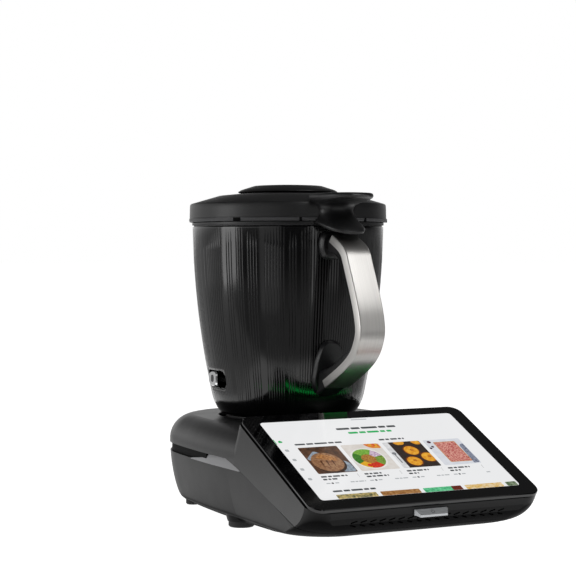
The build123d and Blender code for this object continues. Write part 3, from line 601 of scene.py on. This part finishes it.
    def bowl_of_greens(self) -> None:
        """A white bowl of vegetables and grains."""
        cx, cy = 18.5, 25.5
        side_dish = rounded([(24, 0.3), (41, 0.3), (41.5, 9), (30, 8)], 3)
        self.paint(1, "side_dish", [side_dish], "#e3b23c", "#d9462f", 2, 2.6)
        self.paint(1, "bowl_rim", [disc(cx, cy, 18.2)], "#f4f3f0", "#e2dfd8", 3)
        parts = ((150, 222, "#4d8a33", "#2f6a24"), (222, 300, "#8fbf4e", "#5d9736"),
                 (300, 345, "#a884a9", "#e7d7e5"), (345, 410, "#8fae4a", "#5b7d2c"),
                 (50, 105, "#d8402a", "#b42a1c"), (105, 150, "#eebb33", "#d99a20"))
        for i, (start, end, shade, other) in enumerate(parts):
            arc = [math.radians(start + (end - start) * k / 10) for k in range(11)]
            wedge = [(cx + 16.4 * math.cos(a), cy + 16.4 * math.sin(a)) for a in arc]
            self.paint(1, f"bowl_part_{i}", [wedge + [(cx, cy)]], shade, other, 4 + i % 2)
        self.paint(1, "grains", [disc(cx - 0.5, cy + 0.5, 7.6)], "#c58f49", "#8a5a27", 6, 1.3)
        dots = [disc(cx - 5 + 5.2 * k, cy + 12.6 - abs(k - 1) * 1.2, 2.5, 16) for k in range(3)]
        self.paint(1, "tomatoes", dots, "#e2452c", "#c42c1c", 7)

    def custards(self) -> None:
        """Baked custards in dark moulds on a tray beside a pale cloth."""
        self.paint(2, "marble", [rectangle(0, 0, 6.6, 45.8, 1.2)], "#e9e9ea", "#cfd0d2", 2, 5.0)
        spots = [(24.5, 16.5), (18, 35), (37.2, 29.5)]
        rims, tops = ([[(min(x, 41.8), y) for x, y in disc(a, b, radius)] for a, b in spots]
                      for radius in (8.9, 7.6))
        cut = [rounded([(11, 0.2), (25, 0.2), (22, 5.6), (14, 5.6)], 3),
               rounded([(31, 0.2), (41.5, 0.2), (41.5, 6.5), (35, 6.5)], 3)]
        self.paint(2, "moulds", rims, "#7b3f1d", "#5a2c14", 3)
        self.paint(2, "custards", tops + cut, "#f3b63e", "#d98a1f", 4, 4.2)
        burnt = [disc(a + 1, b - 1, 2.1, 14) for a, b in spots]
        self.paint(2, "burnt_sugar", burnt, "#a8591b", "#d28a2c", 5)
        spoon = [disc(3.2, 20, 2.2), rectangle(2.5, 21, 1.3, 16, 0.6)]
        self.paint(2, "spoon", spoon, "#8d9094", "#5d6063", 3)

    def berry_tart(self) -> None:
        """A long tart covered with red berries."""
        napkin = rounded([(36, 12), (41.5, 9), (41.5, 44), (34, 45)], 2)
        self.paint(3, "napkin", [napkin], "#9da3b5", "#5f6577", 2, 2.0)
        self.paint(3, "tart", [rectangle(9.6, 4.6, 25, 36.4, 1.6)], "#d9a07a", "#b5764f", 3)
        self.paint(3, "berries", [rectangle(10.8, 5.8, 22.6, 34, 1.6)], "#a3202c", "#e9b0a0", 4, 1.5)
        currants = [disc(5.5, 4, 2.2, 12), disc(1.8, 15, 1.5, 12), disc(5, 12.5, 1.6, 12)]
        self.paint(3, "currants", currants, "#2e2038", "#4d2436", 3)

    def lower_row(self) -> None:
        """Tops of the next row of pictures, cut off by the page's lower edge."""
        w, down = self.card[0], self.next_row - self.card_top
        tall = self.height - self.next_row - 0.1
        tones = (("#55593f", "#d9c07c"), ("#b98a55", "#8a5a2e"),
                 ("#74dca2", "#3f9e6b"), ("#ecd9b4", "#d8a93e"))
        for column, (shade, other) in enumerate(tones):
            self.paint(column, f"next_{column}", [rectangle(0, down, w, tall, 1.2)], shade, other, 2, 3.0)
        self.paint(2, "next_side", [rectangle(31, down, 11, tall, 0.8)], "#5a2015", "#74301f", 3)
        self.paint(4, "next_last", [rectangle(0, down, 12, tall, 1.2)], "#38522a", "#8c9a80", 2, 3.0)

    def build(self) -> None:
        """Builds the page and everything on it."""
        self.show("page_white", [rectangle(0, 0, self.width, self.height, 4.2, 8)], Finish.PAGE, 0)
        self.lines()
        self.pictures()
        self.lower_row()


# ---- jug ----------------------------------------------------------------------------------------
@dataclass
class Jug:
    """Ribbed sleeve, steel-backed handle and the knife lock's lever."""

    places: Places
    sleeve: tuple[Point, ...] = ((68.0, 103.0), (72.5, 106.0), (79.3, 118.5), (84.0, 140.0), (89.6, 169.5),
                                 (95.5, 212.0), (99.3, 254.0), (101.1, 298.0))
    wall: float = 2.6
    ribs: int = 200
    rib_depth: float = 0.3
    rib_steps: int = 7
    rib_low: float = 112.0
    rib_full: float = 122.0
    rib_top: float = 297.0
    rib_gap: float = 0.05
    out: tuple[Point, ...] = ((-118, 292), (-143, 278), (-154.5, 258), (-173.5, 212), (-173, 185),
                              (-151, 160), (-86, 127))
    gap: tuple[Point, ...] = ((-92, 276), (-123, 268), (-139, 241), (-155.5, 210), (-154, 183), (-113, 161),
                              (-80, 152))
    steps: int = 14
    half: float = 14.5
    latch: tuple[float, float, float, float] = (166.0, 16.0, 134.0, 16.0)
    latch_travel: float = 10.0
    latch_radius: float = 84.0

    def ripple(self, heights: list[float]):
        """Gives the ribbed radius at each place, full in the middle and fading to smooth at the foot."""
        def rib(angle: float, index: int, radius: float) -> float:
            """Radius at an angle and a place along the section."""
            if index >= len(heights):
                return radius
            fade = (heights[index] - self.rib_low) / (self.rib_full - self.rib_low)
            fade = min(max(fade, 0.0), 1.0) * min(max((self.rib_top - heights[index]) / 2.0, 0.0), 1.0)
            groove = angle * self.ribs / (2 * math.pi) % 1.0 < self.rib_gap
            return radius - self.rib_depth * fade * groove
        return rib

    def build_sleeve(self) -> None:
        """Builds the sleeve with its fine upright ribs, the black lip at its rim and the lever's window."""
        outer = [(p.x, p.y) for p in smooth_line(list(self.sleeve), 4)]
        lip = [(101.1, 300.2), (100.9, 300.4), (100.2, 300.4), (100.1, 300.2), (100.1, 298.0)]
        inner = [(r - self.wall, z) for r, z in reversed(outer[::3]) if z > 108.0]
        inner += [(66.0, 105.6), (66.0, 103.0)]
        heights = [z for _, z in outer]
        turns = self.ribs * self.rib_steps
        shell = lathe(outer + lip + inner, self.places.axis_y, turns, self.ripple(heights))
        sleeve = piece("ribbed_sleeve", shell, Finish.SLEEVE, "bowl", ("bowl_sleeve",), 50)
        cutter_mesh = bmesh.new()
        start, span, low, tall = self.latch
        slack = 0.7
        reach = math.radians(span + self.latch_travel + 2 * slack) * self.latch_radius
        outline = rectangle(0, low - 1, reach, tall + 2, 8.0, 8)
        slab(cutter_mesh, outline, self.round_jug(math.radians(start - slack), 72.0), 0.0, 24.0)
        cutter = piece("window_cutter", cutter_mesh, Finish.VENT, "bowl")
        cut = sleeve.modifiers.new("window", "BOOLEAN")
        cut.object, cut.operation, cut.solver = cutter, "DIFFERENCE", "EXACT"
        bpy.context.view_layer.objects.active = sleeve
        bpy.ops.object.modifier_apply(modifier=cut.name)
        bpy.data.objects.remove(cutter, do_unlink=True)

    def round_jug(self, start: float, radius: float):
        """Wraps flat millimetres round the jug: x runs round it, y is height and rise is outwards."""
        def wrap(x: float, y: float, rise: float) -> Vector:
            """Place round the jug."""
            angle = start + x / self.latch_radius
            r = radius + rise
            return self.places.at(r * math.cos(angle), r * math.sin(angle), y)
        return wrap

    def build_latch(self) -> None:
        """Builds the chrome thumb piece of the knife lock, with a black pad on it that paints the shade of its
        hole.
        """
        start, span, low, tall = self.latch
        reach = math.radians(span) * self.latch_radius
        mesh = bmesh.new()
        outline = rounded([(reach, low), (reach * 0.35, low), (0, low + tall * 0.25), (0, low + tall * 0.75),
                           (reach * 0.35, low + tall), (reach, low + tall)], 5.0, 8)
        slab(mesh, outline, self.round_jug(math.radians(start), 76.0), 0.0, 10.0, 1.4)
        piece("lock_lever", mesh, Finish.CHROME, "latch", ("latch_lever",), 40)
        # Black pad where the lever's hole shows dark: painted shade.
        grip = bmesh.new()
        slab(grip, rectangle(reach * 0.42, low + 4.2, 6.5, tall - 8.4, 3.0, 8),
             self.round_jug(math.radians(start), 76.0), 8.0, 10.25, 0.3)
        piece("lock_lever_hole_shade", grip, Finish.GRIP, "latch", (), 40)

    def handle_lines(self) -> tuple[list[Vector], list[Vector]]:
        """The handle's outer and inner curves, seen from the side."""
        return smooth_line(list(self.out), self.steps), smooth_line(list(self.gap), self.steps)

    def sweep(self, section, first: int, last: int) -> bmesh.types.BMesh:
        """Sweeps a closed section along the handle.

        Args:
            section: function (index) that gives (x, depth share, depth in mm) points at that place.
            first: first place along the curve.
            last: last place along the curve.

        Returns:
            The swept mesh with closed ends.
        """
        outer, inner = self.handle_lines()
        mesh = bmesh.new()
        rings = []
        for i in range(first, last + 1):
            ahead, behind = outer[min(i + 1, len(outer) - 1)], outer[max(i - 1, 0)]
            along = (ahead - behind).normalized()
            normal = Vector((-along.y, along.x))
            across = inner[i] - outer[i]
            ring = []
            for x, share, depth in section(i):
                spot = outer[i] + across * share + normal * depth
                ring.append(mesh.verts.new(self.places.at(x, spot.x, spot.y)))
            rings.append(ring)
        capped(mesh, rings)
        return mesh

    def build_handle(self) -> None:
        """Builds the brushed steel channel and the black grip inside it."""
        outside = [(-15.2, 8.5), (-14.3, 1.4), (-14.0, 0.6), (-13.2, 0.0),
                   (13.2, 0.0), (14.0, 0.6), (14.3, 1.4), (15.2, 8.5)]
        inside = [(13.9, 8.5), (13.0, 2.1), (12.4, 1.4), (-12.4, 1.4), (-13.0, 2.1), (-13.9, 8.5)]
        channel = [(x, 0.0, depth) for x, depth in outside + inside]
        last = len(self.handle_lines()[0]) - 1
        strip = self.sweep(lambda i: channel, 1, last - 4)
        piece("handle_steel", strip, Finish.STEEL_BRUSHED, "bowl", ("handle_strip",), 25)

        def core(i: int) -> list[tuple[float, float, float]]:
            """Section of the grip, the same all along."""
            w = self.half - 2.4
            front = [(-w, 0.0, 3.0), (-w + 1, 0.0, 1.6), (w - 1, 0.0, 1.6), (w, 0.0, 3.0)]
            return front + [(w, 0.82, 0.0), (w - 1.2, 0.93, 0.0), (w - 4.5, 1.0, 0.0), (-w + 4.5, 1.0, 0.0),
                            (-w + 1.2, 0.93, 0.0), (-w, 0.82, 0.0)]
        grip = self.sweep(core, 0, last)
        piece("handle_core", grip, Finish.GRIP, "bowl", ("handle_grip",), 30)

    def sleeve_radius(self, height: float) -> float:
        """Radius of the sleeve at a height, in millimetres."""
        for (r1, z1), (r2, z2) in zip(self.sleeve, self.sleeve[1:]):
            if z1 <= height <= z2:
                return r1 + (r2 - r1) * (height - z1) / (z2 - z1)
        return self.sleeve[-1][0]

    def against_sleeve(self, x: float, y: float, rise: float) -> Vector:
        """Place against the sleeve under the handle: x to the right, y is height and rise is outwards."""
        radius = self.sleeve_radius(y)
        angle = -math.pi / 2 + x / radius
        r = radius + rise
        return self.places.at(r * math.cos(angle), r * math.sin(angle), y)

    def build_roots(self) -> None:
        """Builds the rounded roots that spread the handle's ends over the sleeve."""
        high = rounded([(-15, 266), (15, 266), (19, 280), (16, 294), (-16, 294), (-19, 280)], 7, 6)
        low = rounded([(-11, 127), (11, 127), (18, 140), (16, 166),
                       (9, 184), (-9, 184), (-16, 166), (-18, 140)], 8, 6)
        for name, outline, thick in (("handle_root_high", high, 8.0), ("handle_root_low", low, 5.0)):
            mesh = bmesh.new()
            slab(mesh, outline, self.against_sleeve, -0.6, thick, 3.2)
            piece(name, mesh, Finish.GRIP, "bowl", (), 50)

    def build(self) -> None:
        """Builds the jug's visible pieces."""
        self.build_roots()
        self.build_sleeve()
        self.build_latch()
        self.build_handle()


# ---- lid ----------------------------------------------------------------------------------------
@dataclass
class Lid:
    """Lid with its thumb tab, and the measuring cup."""

    places: Places
    notches: tuple[Point, ...] = ((57.6, 4.0), (21.0, 1.3))
    edge_radius: float = 104.0

    def build_shell(self) -> None:
        """Builds the turned part of the lid: skirt, bevel, sloping deck and flat top."""
        over = [(101.8, 305.0), (103.6, 305.0), (104.6, 306.4), (104.45, 309.0), (104.2, 309.3),
                (104.0, 318.3), (103.8, 322.6), (103.2, 323.9), (102.2, 324.5), (74.2, 332.7),
                (73.0, 333.0), (53.4, 335.0), (52.6, 335.0), (52.0, 334.4), (37.0, 334.4), (36.0, 334.0)]
        under = [(36.0, 332.2), (53.0, 332.2), (73.0, 330.0), (100.8, 321.6), (101.8, 305.0)]
        shell = lathe(over + under[:-1], self.places.axis_y, 180)
        piece("lid_cover", shell, Finish.LID, "lid", ("lid_shell",), 24)

    def spool(self, rows: list[tuple[float, float, float, float]]) -> bmesh.types.BMesh:
        """Lofts rounded rows stacked upwards, each reaching forward from inside the lid.

        Args:
            rows: (height, reach, half width, droop at the tip) in millimetres.

        Returns:
            The lofted mesh with closed ends.
        """
        mesh = bmesh.new()
        root, count = -98.0, 40
        rings = []
        for height, reach, half, droop in rows:
            ring = []
            for k in range(count + 1):
                a = math.pi * k / count
                x = half * math.copysign(abs(math.cos(a)) ** 0.8, math.cos(a))
                out = abs(math.sin(a)) ** 0.75
                y = root - (reach + root) * out
                ring.append(mesh.verts.new(self.places.at(x, y, height - droop * out)))
            rings.append(ring)
        capped(mesh, rings)
        return mesh

    def build_tab(self) -> None:
        """Builds the tab over the handle: a broad upper wing, a waist and a drooping lower wing."""
        rows = [(303.0, 126.0, 17.0, 9.5), (302.8, 135.0, 21.0, 11.5), (303.2, 139.4, 22.6, 12.0),
                (304.8, 140.6, 23.2, 11.4), (306.2, 139.0, 22.8, 10.6), (307.8, 132.0, 21.4, 7.9),
                (309.6, 124.0, 20.2, 4.6), (312.0, 117.6, 19.2, 1.6), (315.0, 114.4, 19.2, -0.4),
                (317.6, 115.0, 20.0, -1.6), (319.6, 119.6, 21.4, -2.6), (321.2, 128.0, 23.2, -3.0),
                (322.8, 139.0, 25.2, -2.6), (324.2, 147.6, 26.8, -2.0), (325.9, 152.2, 27.6, -1.5),
                (328.2, 153.8, 28.0, -1.0), (330.4, 153.0, 27.7, -0.8), (331.4, 150.4, 26.8, -0.6),
                (332.0, 143.0, 24.4, -0.4), (332.2, 126.0, 18.0, -0.2)]
        piece("lid_thumb_tab", self.spool(rows), Finish.LID, "lid", (), 60)

    def build_edge(self) -> None:
        """Builds the satin bevel along the lid's lower edge, painted lighter, and the black blocks that paint
        shade in its notches.
        """
        section = [(103.3, 305.1), (104.2, 305.2), (104.85, 307.9), (104.5, 308.1)]
        band = lathe(section, self.places.axis_y, 180)
        # The bevel's lighter grey is a painted reflection of the floor.
        piece("lid_bevel", band, Finish.BEVEL, "lid", (), 20)
        # Black blocks in the bevel's notches: painted shade where the gaps are.
        mesh = bmesh.new()
        for turn, half in self.notches:
            for side in (-1, 1):
                centre = math.radians(-90 + side * turn)
                arc = [centre + half * k / 5 / self.edge_radius for k in range(-5, 6)]
                corners = ((103.6, 304.95), (105.05, 304.95), (105.05, 308.5), (103.6, 308.5))
                rings = [[mesh.verts.new(self.places.at(r * math.cos(a), r * math.sin(a), z))
                          for r, z in corners] for a in arc]
                capped(mesh, rings)
        piece("lid_notch_shade", mesh, Finish.VENT, "lid", (), 20)

    def build_cup(self) -> None:
        """Builds the measuring cup, which hangs mouth down in the filling hole."""
        over = [(35.2, 336.2), (51.6, 336.2), (52.6, 336.5), (52.9, 337.0), (52.5, 337.6), (50.2, 339.0),
                (49.0, 339.5), (37.4, 343.2), (35.8, 343.6), (20.0, 344.4), (0.0, 344.7)]
        under = [(0.0, 342.5), (32.4, 341.3), (33.0, 340.4), (33.0, 303.6), (33.6, 303.0), (34.6, 303.0),
                 (35.2, 303.6)]
        cup = lathe(over + under, self.places.axis_y, 144)
        piece("cup_body", cup, Finish.LID, "cup", ("measuring_cup",), 24)

    def build(self) -> None:
        """Builds the lid and the cup."""
        self.build_shell()
        self.build_edge()
        self.build_tab()
        self.build_cup()


# ---- casing and carried-over parts --------------------------------------------------------------
@dataclass
class Casing:
    """Casing parts and everything else that keeps its CAD shape."""

    places: Places
    half_width: float = 126.5
    turn_y: float = -112.0
    side_turn: float = 6.6
    side_radius: float = 1248.6
    back_radius: float = 100.0
    back_turn: Point = (118.23, 31.5)
    band_end: int = -57
    spring_wire: float = 0.35
    spring_turns: int = 5
    slots: dict[str, Finish] = field(default_factory=lambda: {
        "casing_black": Finish.CASING, "lid_black": Finish.LID, "sleeve_black": Finish.SLEEVE,
        "grip_black": Finish.GRIP, "vent_black": Finish.VENT, "screen_glass": Finish.GLASS,
        "display": Finish.PAGE, "steel_brushed": Finish.STEEL_BRUSHED, "steel_pot": Finish.STEEL_POT,
        "chrome": Finish.CHROME, "aluminium": Finish.ALUMINIUM, "rubber": Finish.RUBBER, "seal": Finish.SEAL,
        "light": Finish.GLOW, "circuit": Finish.BOARD, "brass": Finish.BRASS, "plated_steel": Finish.ZINC,
        "winding": Finish.CORE,
    })

    special: dict[str, Finish] = field(default_factory=lambda: {
        "lower_shell": Finish.CASING_LOW, "latch_ring": Finish.VENT, "front_grille": Finish.VENT,
    })

    # Moulded parts whose faces run into each other without a line.
    soft: tuple[str, ...] = ("upper_housing", "lower_shell")

    def dress(self) -> None:
        """Gives every CAD node the finish of its slot and smooths its curved faces."""
        by_node = {part["node"]: part["material_slot"] for part in frame["record"]["subparts"]}
        for name, node in frame["nodes"].items():
            finish = self.special.get(name) or self.slots[by_node[name]]
            node.data.materials.clear()
            node.data.materials.append(finish.get())
            node.data.shade_smooth()
            crease = 62 if name in self.soft else 28
            node.data.set_sharp_from_angle(angle=math.radians(crease))
            LOG.info("%s: %s", name, finish.value.name)

    def outline(self, inset: float) -> list[Point]:
        """Right half of the base from above, from the vent band's front end to the middle of the back."""
        turn = math.radians(self.side_turn)
        line = [(self.edge(y) - inset, y) for y in range(self.band_end, 31, 8)]
        x = self.back_turn[0] - self.back_radius * math.cos(turn)
        y = self.back_turn[1] - self.back_radius * math.sin(turn)
        radius = self.back_radius - inset
        for k in range(25):
            a = turn + (math.pi / 2 - turn) * k / 24
            line.append((x + radius * math.cos(a), y + radius * math.sin(a)))
        return line

    def edge(self, y: float) -> float:
        """Half width of the base at y, where its sides turn slightly in towards the back."""
        if y <= self.turn_y:
            return self.half_width
        return self.half_width - self.side_radius + math.sqrt(self.side_radius ** 2 - (y - self.turn_y) ** 2)

    def groove_ledge(self) -> None:
        """Adds the sloped ledge in each side groove, painted pale as a painted highlight, with a slender tip under
        the vent.
        """
        for side, name in ((-1, "left"), (1, "right")):
            mesh = bmesh.new()
            rows = []
            for y in (-138.5, -128, -118, -108, -96, -84, -72, -60, -57.2, -57.0, -50, -40, -30, -20):
                top = 72.8 if y < -57.1 else 64.2 + 4.2 * (-20 - y) / 37
                share = (top - 63.5) / 9.5
                outer, inner = self.edge(y) - 0.05, self.edge(y) - 1.4
                spots = [(outer, 63.4), (outer - 5.8 * share, top), (inner - 5.8 * share, top), (inner, 63.4)]
                rows.append([mesh.verts.new(self.places.at(side * x, y, z)) for x, z in spots])
            capped(mesh, rows)
            # Light grey here is a painted highlight on black resin.
            piece(f"groove_ledge_{name}", mesh, Finish.LEDGE, "base")

    def vent_shade_band(self) -> None:
        """Adds a plain dark band in the groove round the back, in place of the slotted vent liner: black plastic
        that covers the slots and their lit bars, painting their shade flat dark.
        """
        mesh = bmesh.new()
        section = [(4.5, 63.9), (2.4, 64.2), (2.4, 72.8), (4.5, 73.1)]
        lines = [[(x, y, z) for x, y in self.outline(inset)] for inset, z in section]
        half = list(zip(*lines))
        spots = half + [[(-x, y, z) for x, y, z in ring] for ring in reversed(half)]
        capped(mesh, [[mesh.verts.new(self.places.at(*spot)) for spot in ring] for ring in spots])
        piece("vent_shade_band", mesh, Finish.VENT, "base", ("vent_liner",), 20)

    def tab_spring(self) -> None:
        """Adds the coil behind the power tab, on the tab's body, with a mesh of its own."""
        low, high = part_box("tab_spring")
        middle, length = (low + high) / 2, high.y - low.y
        wire = self.spring_wire * MM
        radius = (high.x - low.x) / 2 - wire
        mesh = bmesh.new()
        rings = []
        steps = 24 * self.spring_turns
        for k in range(steps + 1):
            turn = math.tau * k / 24
            out = Vector((math.cos(turn), 0.0, math.sin(turn)))
            along = wire + (length - 2 * wire) * k / steps
            centre = Vector((middle.x, low.y + along, middle.z)) + radius * out
            around = [math.tau * j / 8 for j in range(8)]
            rings.append([mesh.verts.new(centre + wire * (math.cos(a) * out + Vector((0, math.sin(a), 0))))
                          for a in around])
        capped(mesh, rings)
        coil = piece("tab_spring_coil", mesh, Finish.ZINC, "tab", ("tab_spring",), 60)
        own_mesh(coil)

    def power_mark(self) -> None:
        """Adds the power sign to the tab: an open ring and a stroke."""
        low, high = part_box("power_tab")
        root = Vector((0.0, low.y + 5.6 * MM, high.z))
        tip = Vector((0.0, low.y, high.z - 4.9 * MM))
        down = (tip - root).normalized()
        out = Vector((0, -down.z, down.y))
        out = out if out.y < 0 else -out
        middle = (root + tip) / 2

        def place(x: float, y: float, rise: float) -> Vector:
            """Place on the tab's sloping face."""
            return middle + Vector((x * MM, 0, 0)) - down * y * MM + out * rise * MM

        mesh = bmesh.new()
        for k in range(20):
            a, b = (math.radians(120 + 300 * (k + s) / 20) for s in (0.0, 1.0))
            quad = [(r * math.cos(t), r * math.sin(t)) for r, t in ((1.5, a), (1.9, a), (1.9, b), (1.5, b))]
            slab(mesh, quad, place, -0.05, 0.05)
        slab(mesh, rectangle(-0.2, 0.4, 0.4, 1.9, 0.1, 2), place, -0.05, 0.05)
        bmesh.ops.remove_doubles(mesh, verts=mesh.verts, dist=1e-6)
        piece("power_sign", mesh, Finish.GRIP, "tab")

    def build(self) -> None:
        """Dresses the CAD nodes and adds the small marks."""
        self.dress()
        self.vent_shade_band()
        self.groove_ledge()
        self.tab_spring()
        self.power_mark()


# ---- studio -------------------------------------------------------------------------------------
@dataclass
class Studio:
    """Pale floor that glows with painted light, soft light and the camera."""

    eye: tuple[float, float, float] = (-0.8285, -1.4745, 0.2687)
    yaw: float = 28.02
    pitch: float = 1.075
    lens: float = 103.75
    floor_glow_edges: tuple = (((-0.47, -0.883), 0.31, 0.05), ((-0.95, 0.312), 0.35, 0.4),
                          ((0.789, -0.614), 0.275, 0.2))

    def camera(self) -> None:
        """Places the camera in front and to the left, just above the lid's middle height."""
        data = bpy.data.cameras.new("camera")
        data.lens, data.sensor_width = self.lens, 36.0
        data.dof.use_dof = False
        camera = bpy.data.objects.new("camera", data)
        yaw, pitch = math.radians(self.yaw), math.radians(self.pitch)
        ahead = Vector((math.sin(yaw) * math.cos(pitch), math.cos(yaw) * math.cos(pitch), -math.sin(pitch)))
        camera.location = self.eye
        camera.rotation_euler = ahead.to_track_quat("-Z", "Y").to_euler()
        bpy.context.scene.collection.objects.link(camera)
        bpy.context.scene.camera = camera

    def floor(self) -> None:
        """Adds the pale floor, glowing with painted light round and behind the appliance and falling off to
        painted shade towards the front and the sides.
        """
        mesh = bmesh.new()
        bmesh.ops.create_circle(mesh, cap_ends=True, radius=60.0, segments=96)
        data = bpy.data.meshes.new("floor")
        mesh.to_mesh(data)
        mesh.free()
        floor = bpy.data.objects.new("floor", data)
        floor.location.z = -0.0002
        # Painted light: the floor's own glow, cut down towards the front and the sides as painted shade.
        material, tree, shader = blank("pale_floor_painted_glow", Base_Color=linear("#c8c8c8"), Roughness=0.9,
                                       Specular_IOR_Level=0.0, Emission_Color=linear("#ffffff"))
        place = add(tree, "ShaderNodeTexCoord")
        total = 1.05
        for toward, edge, least in self.floor_glow_edges:
            reach = add(tree, "ShaderNodeVectorMath", {"operation": "DOT_PRODUCT"},
                        {"Vector": place.outputs["Object"]})
            reach.inputs[1].default_value = (*toward, 0.0)
            glow = add(tree, "ShaderNodeMapRange", {"interpolation_type": "SMOOTHSTEP", "From Min": edge,
                                                    "From Max": edge + 0.1, "To Min": 1.0, "To Max": least},
                       {"Value": reach.outputs["Value"]})
            product = add(tree, "ShaderNodeMath", {"operation": "MULTIPLY"})
            tree.links.new(glow.outputs["Result"], product.inputs[0])
            if isinstance(total, float):
                product.inputs[1].default_value = total
            else:
                tree.links.new(total, product.inputs[1])
            total = product.outputs["Value"]
        tree.links.new(total, shader.inputs["Emission Strength"])
        data.materials.append(material)
        bpy.context.scene.collection.objects.link(floor)

    def fall_off(self, tree: bpy.types.NodeTree, toward: tuple[float, float, float], start: float, end: float,
                 least: float):
        """Brightness that falls from one to least as a direction turns toward the given one."""
        place = add(tree, "ShaderNodeTexCoord")
        side = add(tree, "ShaderNodeVectorMath", {"operation": "DOT_PRODUCT"},
                   {"Vector": place.outputs["Generated"]})
        side.inputs[1].default_value = toward
        return add(tree, "ShaderNodeMapRange", {"interpolation_type": "SMOOTHSTEP", "From Min": start,
                                                "From Max": end, "To Min": 1.0, "To Max": least},
                   {"Value": side.outputs["Value"]}).outputs["Result"]

    def sky(self) -> None:
        """Surrounds the scene with white light from the left and behind, dark elsewhere."""
        world = bpy.data.worlds.new("soft_surround")
        bpy.context.scene.world = world
        world.use_nodes = True
        tree = world.node_tree
        tree.nodes.clear()
        total = self.fall_off(tree, (0.3, -0.954, 0.0), -0.1, 0.45, 0.1)
        for toward, start, end, least in (((0.98, -0.2, 0.0), 0.5, 0.9, 0.3),
                                          ((0.0, 0.0, 1.0), 0.16, 0.42, 0.08)):
            part = self.fall_off(tree, toward, start, end, least)
            product = add(tree, "ShaderNodeMath", {"operation": "MULTIPLY"})
            tree.links.new(total, product.inputs[0])
            tree.links.new(part, product.inputs[1])
            total = product.outputs["Value"]
        light = add(tree, "ShaderNodeBackground", {"Color": linear("#ffffff")}, {"Strength": total})
        add(tree, "ShaderNodeOutputWorld", links={"Surface": light.outputs["Background"]})

    def lamp(self, name: str, spot: tuple[float, float, float], target: tuple[float, float, float],
             size: tuple[float, float], watts: float) -> None:
        """Adds a soft box.

        Args:
            name: its name.
            spot: where it stands, in metres.
            target: what it points at.
            size: width and height in metres.
            watts: its power.
        """
        data = bpy.data.lights.new(name, "AREA")
        data.shape, data.size, data.size_y = "RECTANGLE", size[0], size[1]
        data.energy = watts
        lamp = bpy.data.objects.new(name, data)
        lamp.location = spot
        lamp.rotation_euler = (Vector(target) - Vector(spot)).to_track_quat("-Z", "Y").to_euler()
        bpy.context.scene.collection.objects.link(lamp)

    def build(self) -> None:
        """Builds the studio."""
        self.camera()
        self.floor()
        self.sky()
        self.lamp("left_soft_box", (-1.7, 0.4, 0.35), (0, 0, 0.2), (0.7, 0.9), 6.0)
        self.lamp("front_soft_box", (0.62, -1.25, 0.45), (0, -0.07, 0.22), (0.5, 1.4), 1.5)
        self.lamp("high_soft_box", (0.35, -0.95, 1.3), (0, -0.05, 0.25), (0.6, 0.6), 8.0)
        self.lamp("left_strip", (-0.66, -0.49, 0.3), (0, 0.08, 0.18), (0.36, 0.9), 0.5)
        self.lamp("front_strip", (0.03, -0.95, 0.3), (0, 0.08, 0.18), (0.12, 0.9), 0.5)
        bpy.context.scene.view_settings.view_transform = "Standard"


def main() -> None:
    """Builds every sub-assembly in order and reports each piece."""
    logging.basicConfig(level=logging.INFO, format="%(message)s")
    places = Places()
    Studio().build()
    Casing(places).build()
    Display(places).build()
    Jug(places).build()
    Lid(places).build()


if __name__ == "__main__":
    main()
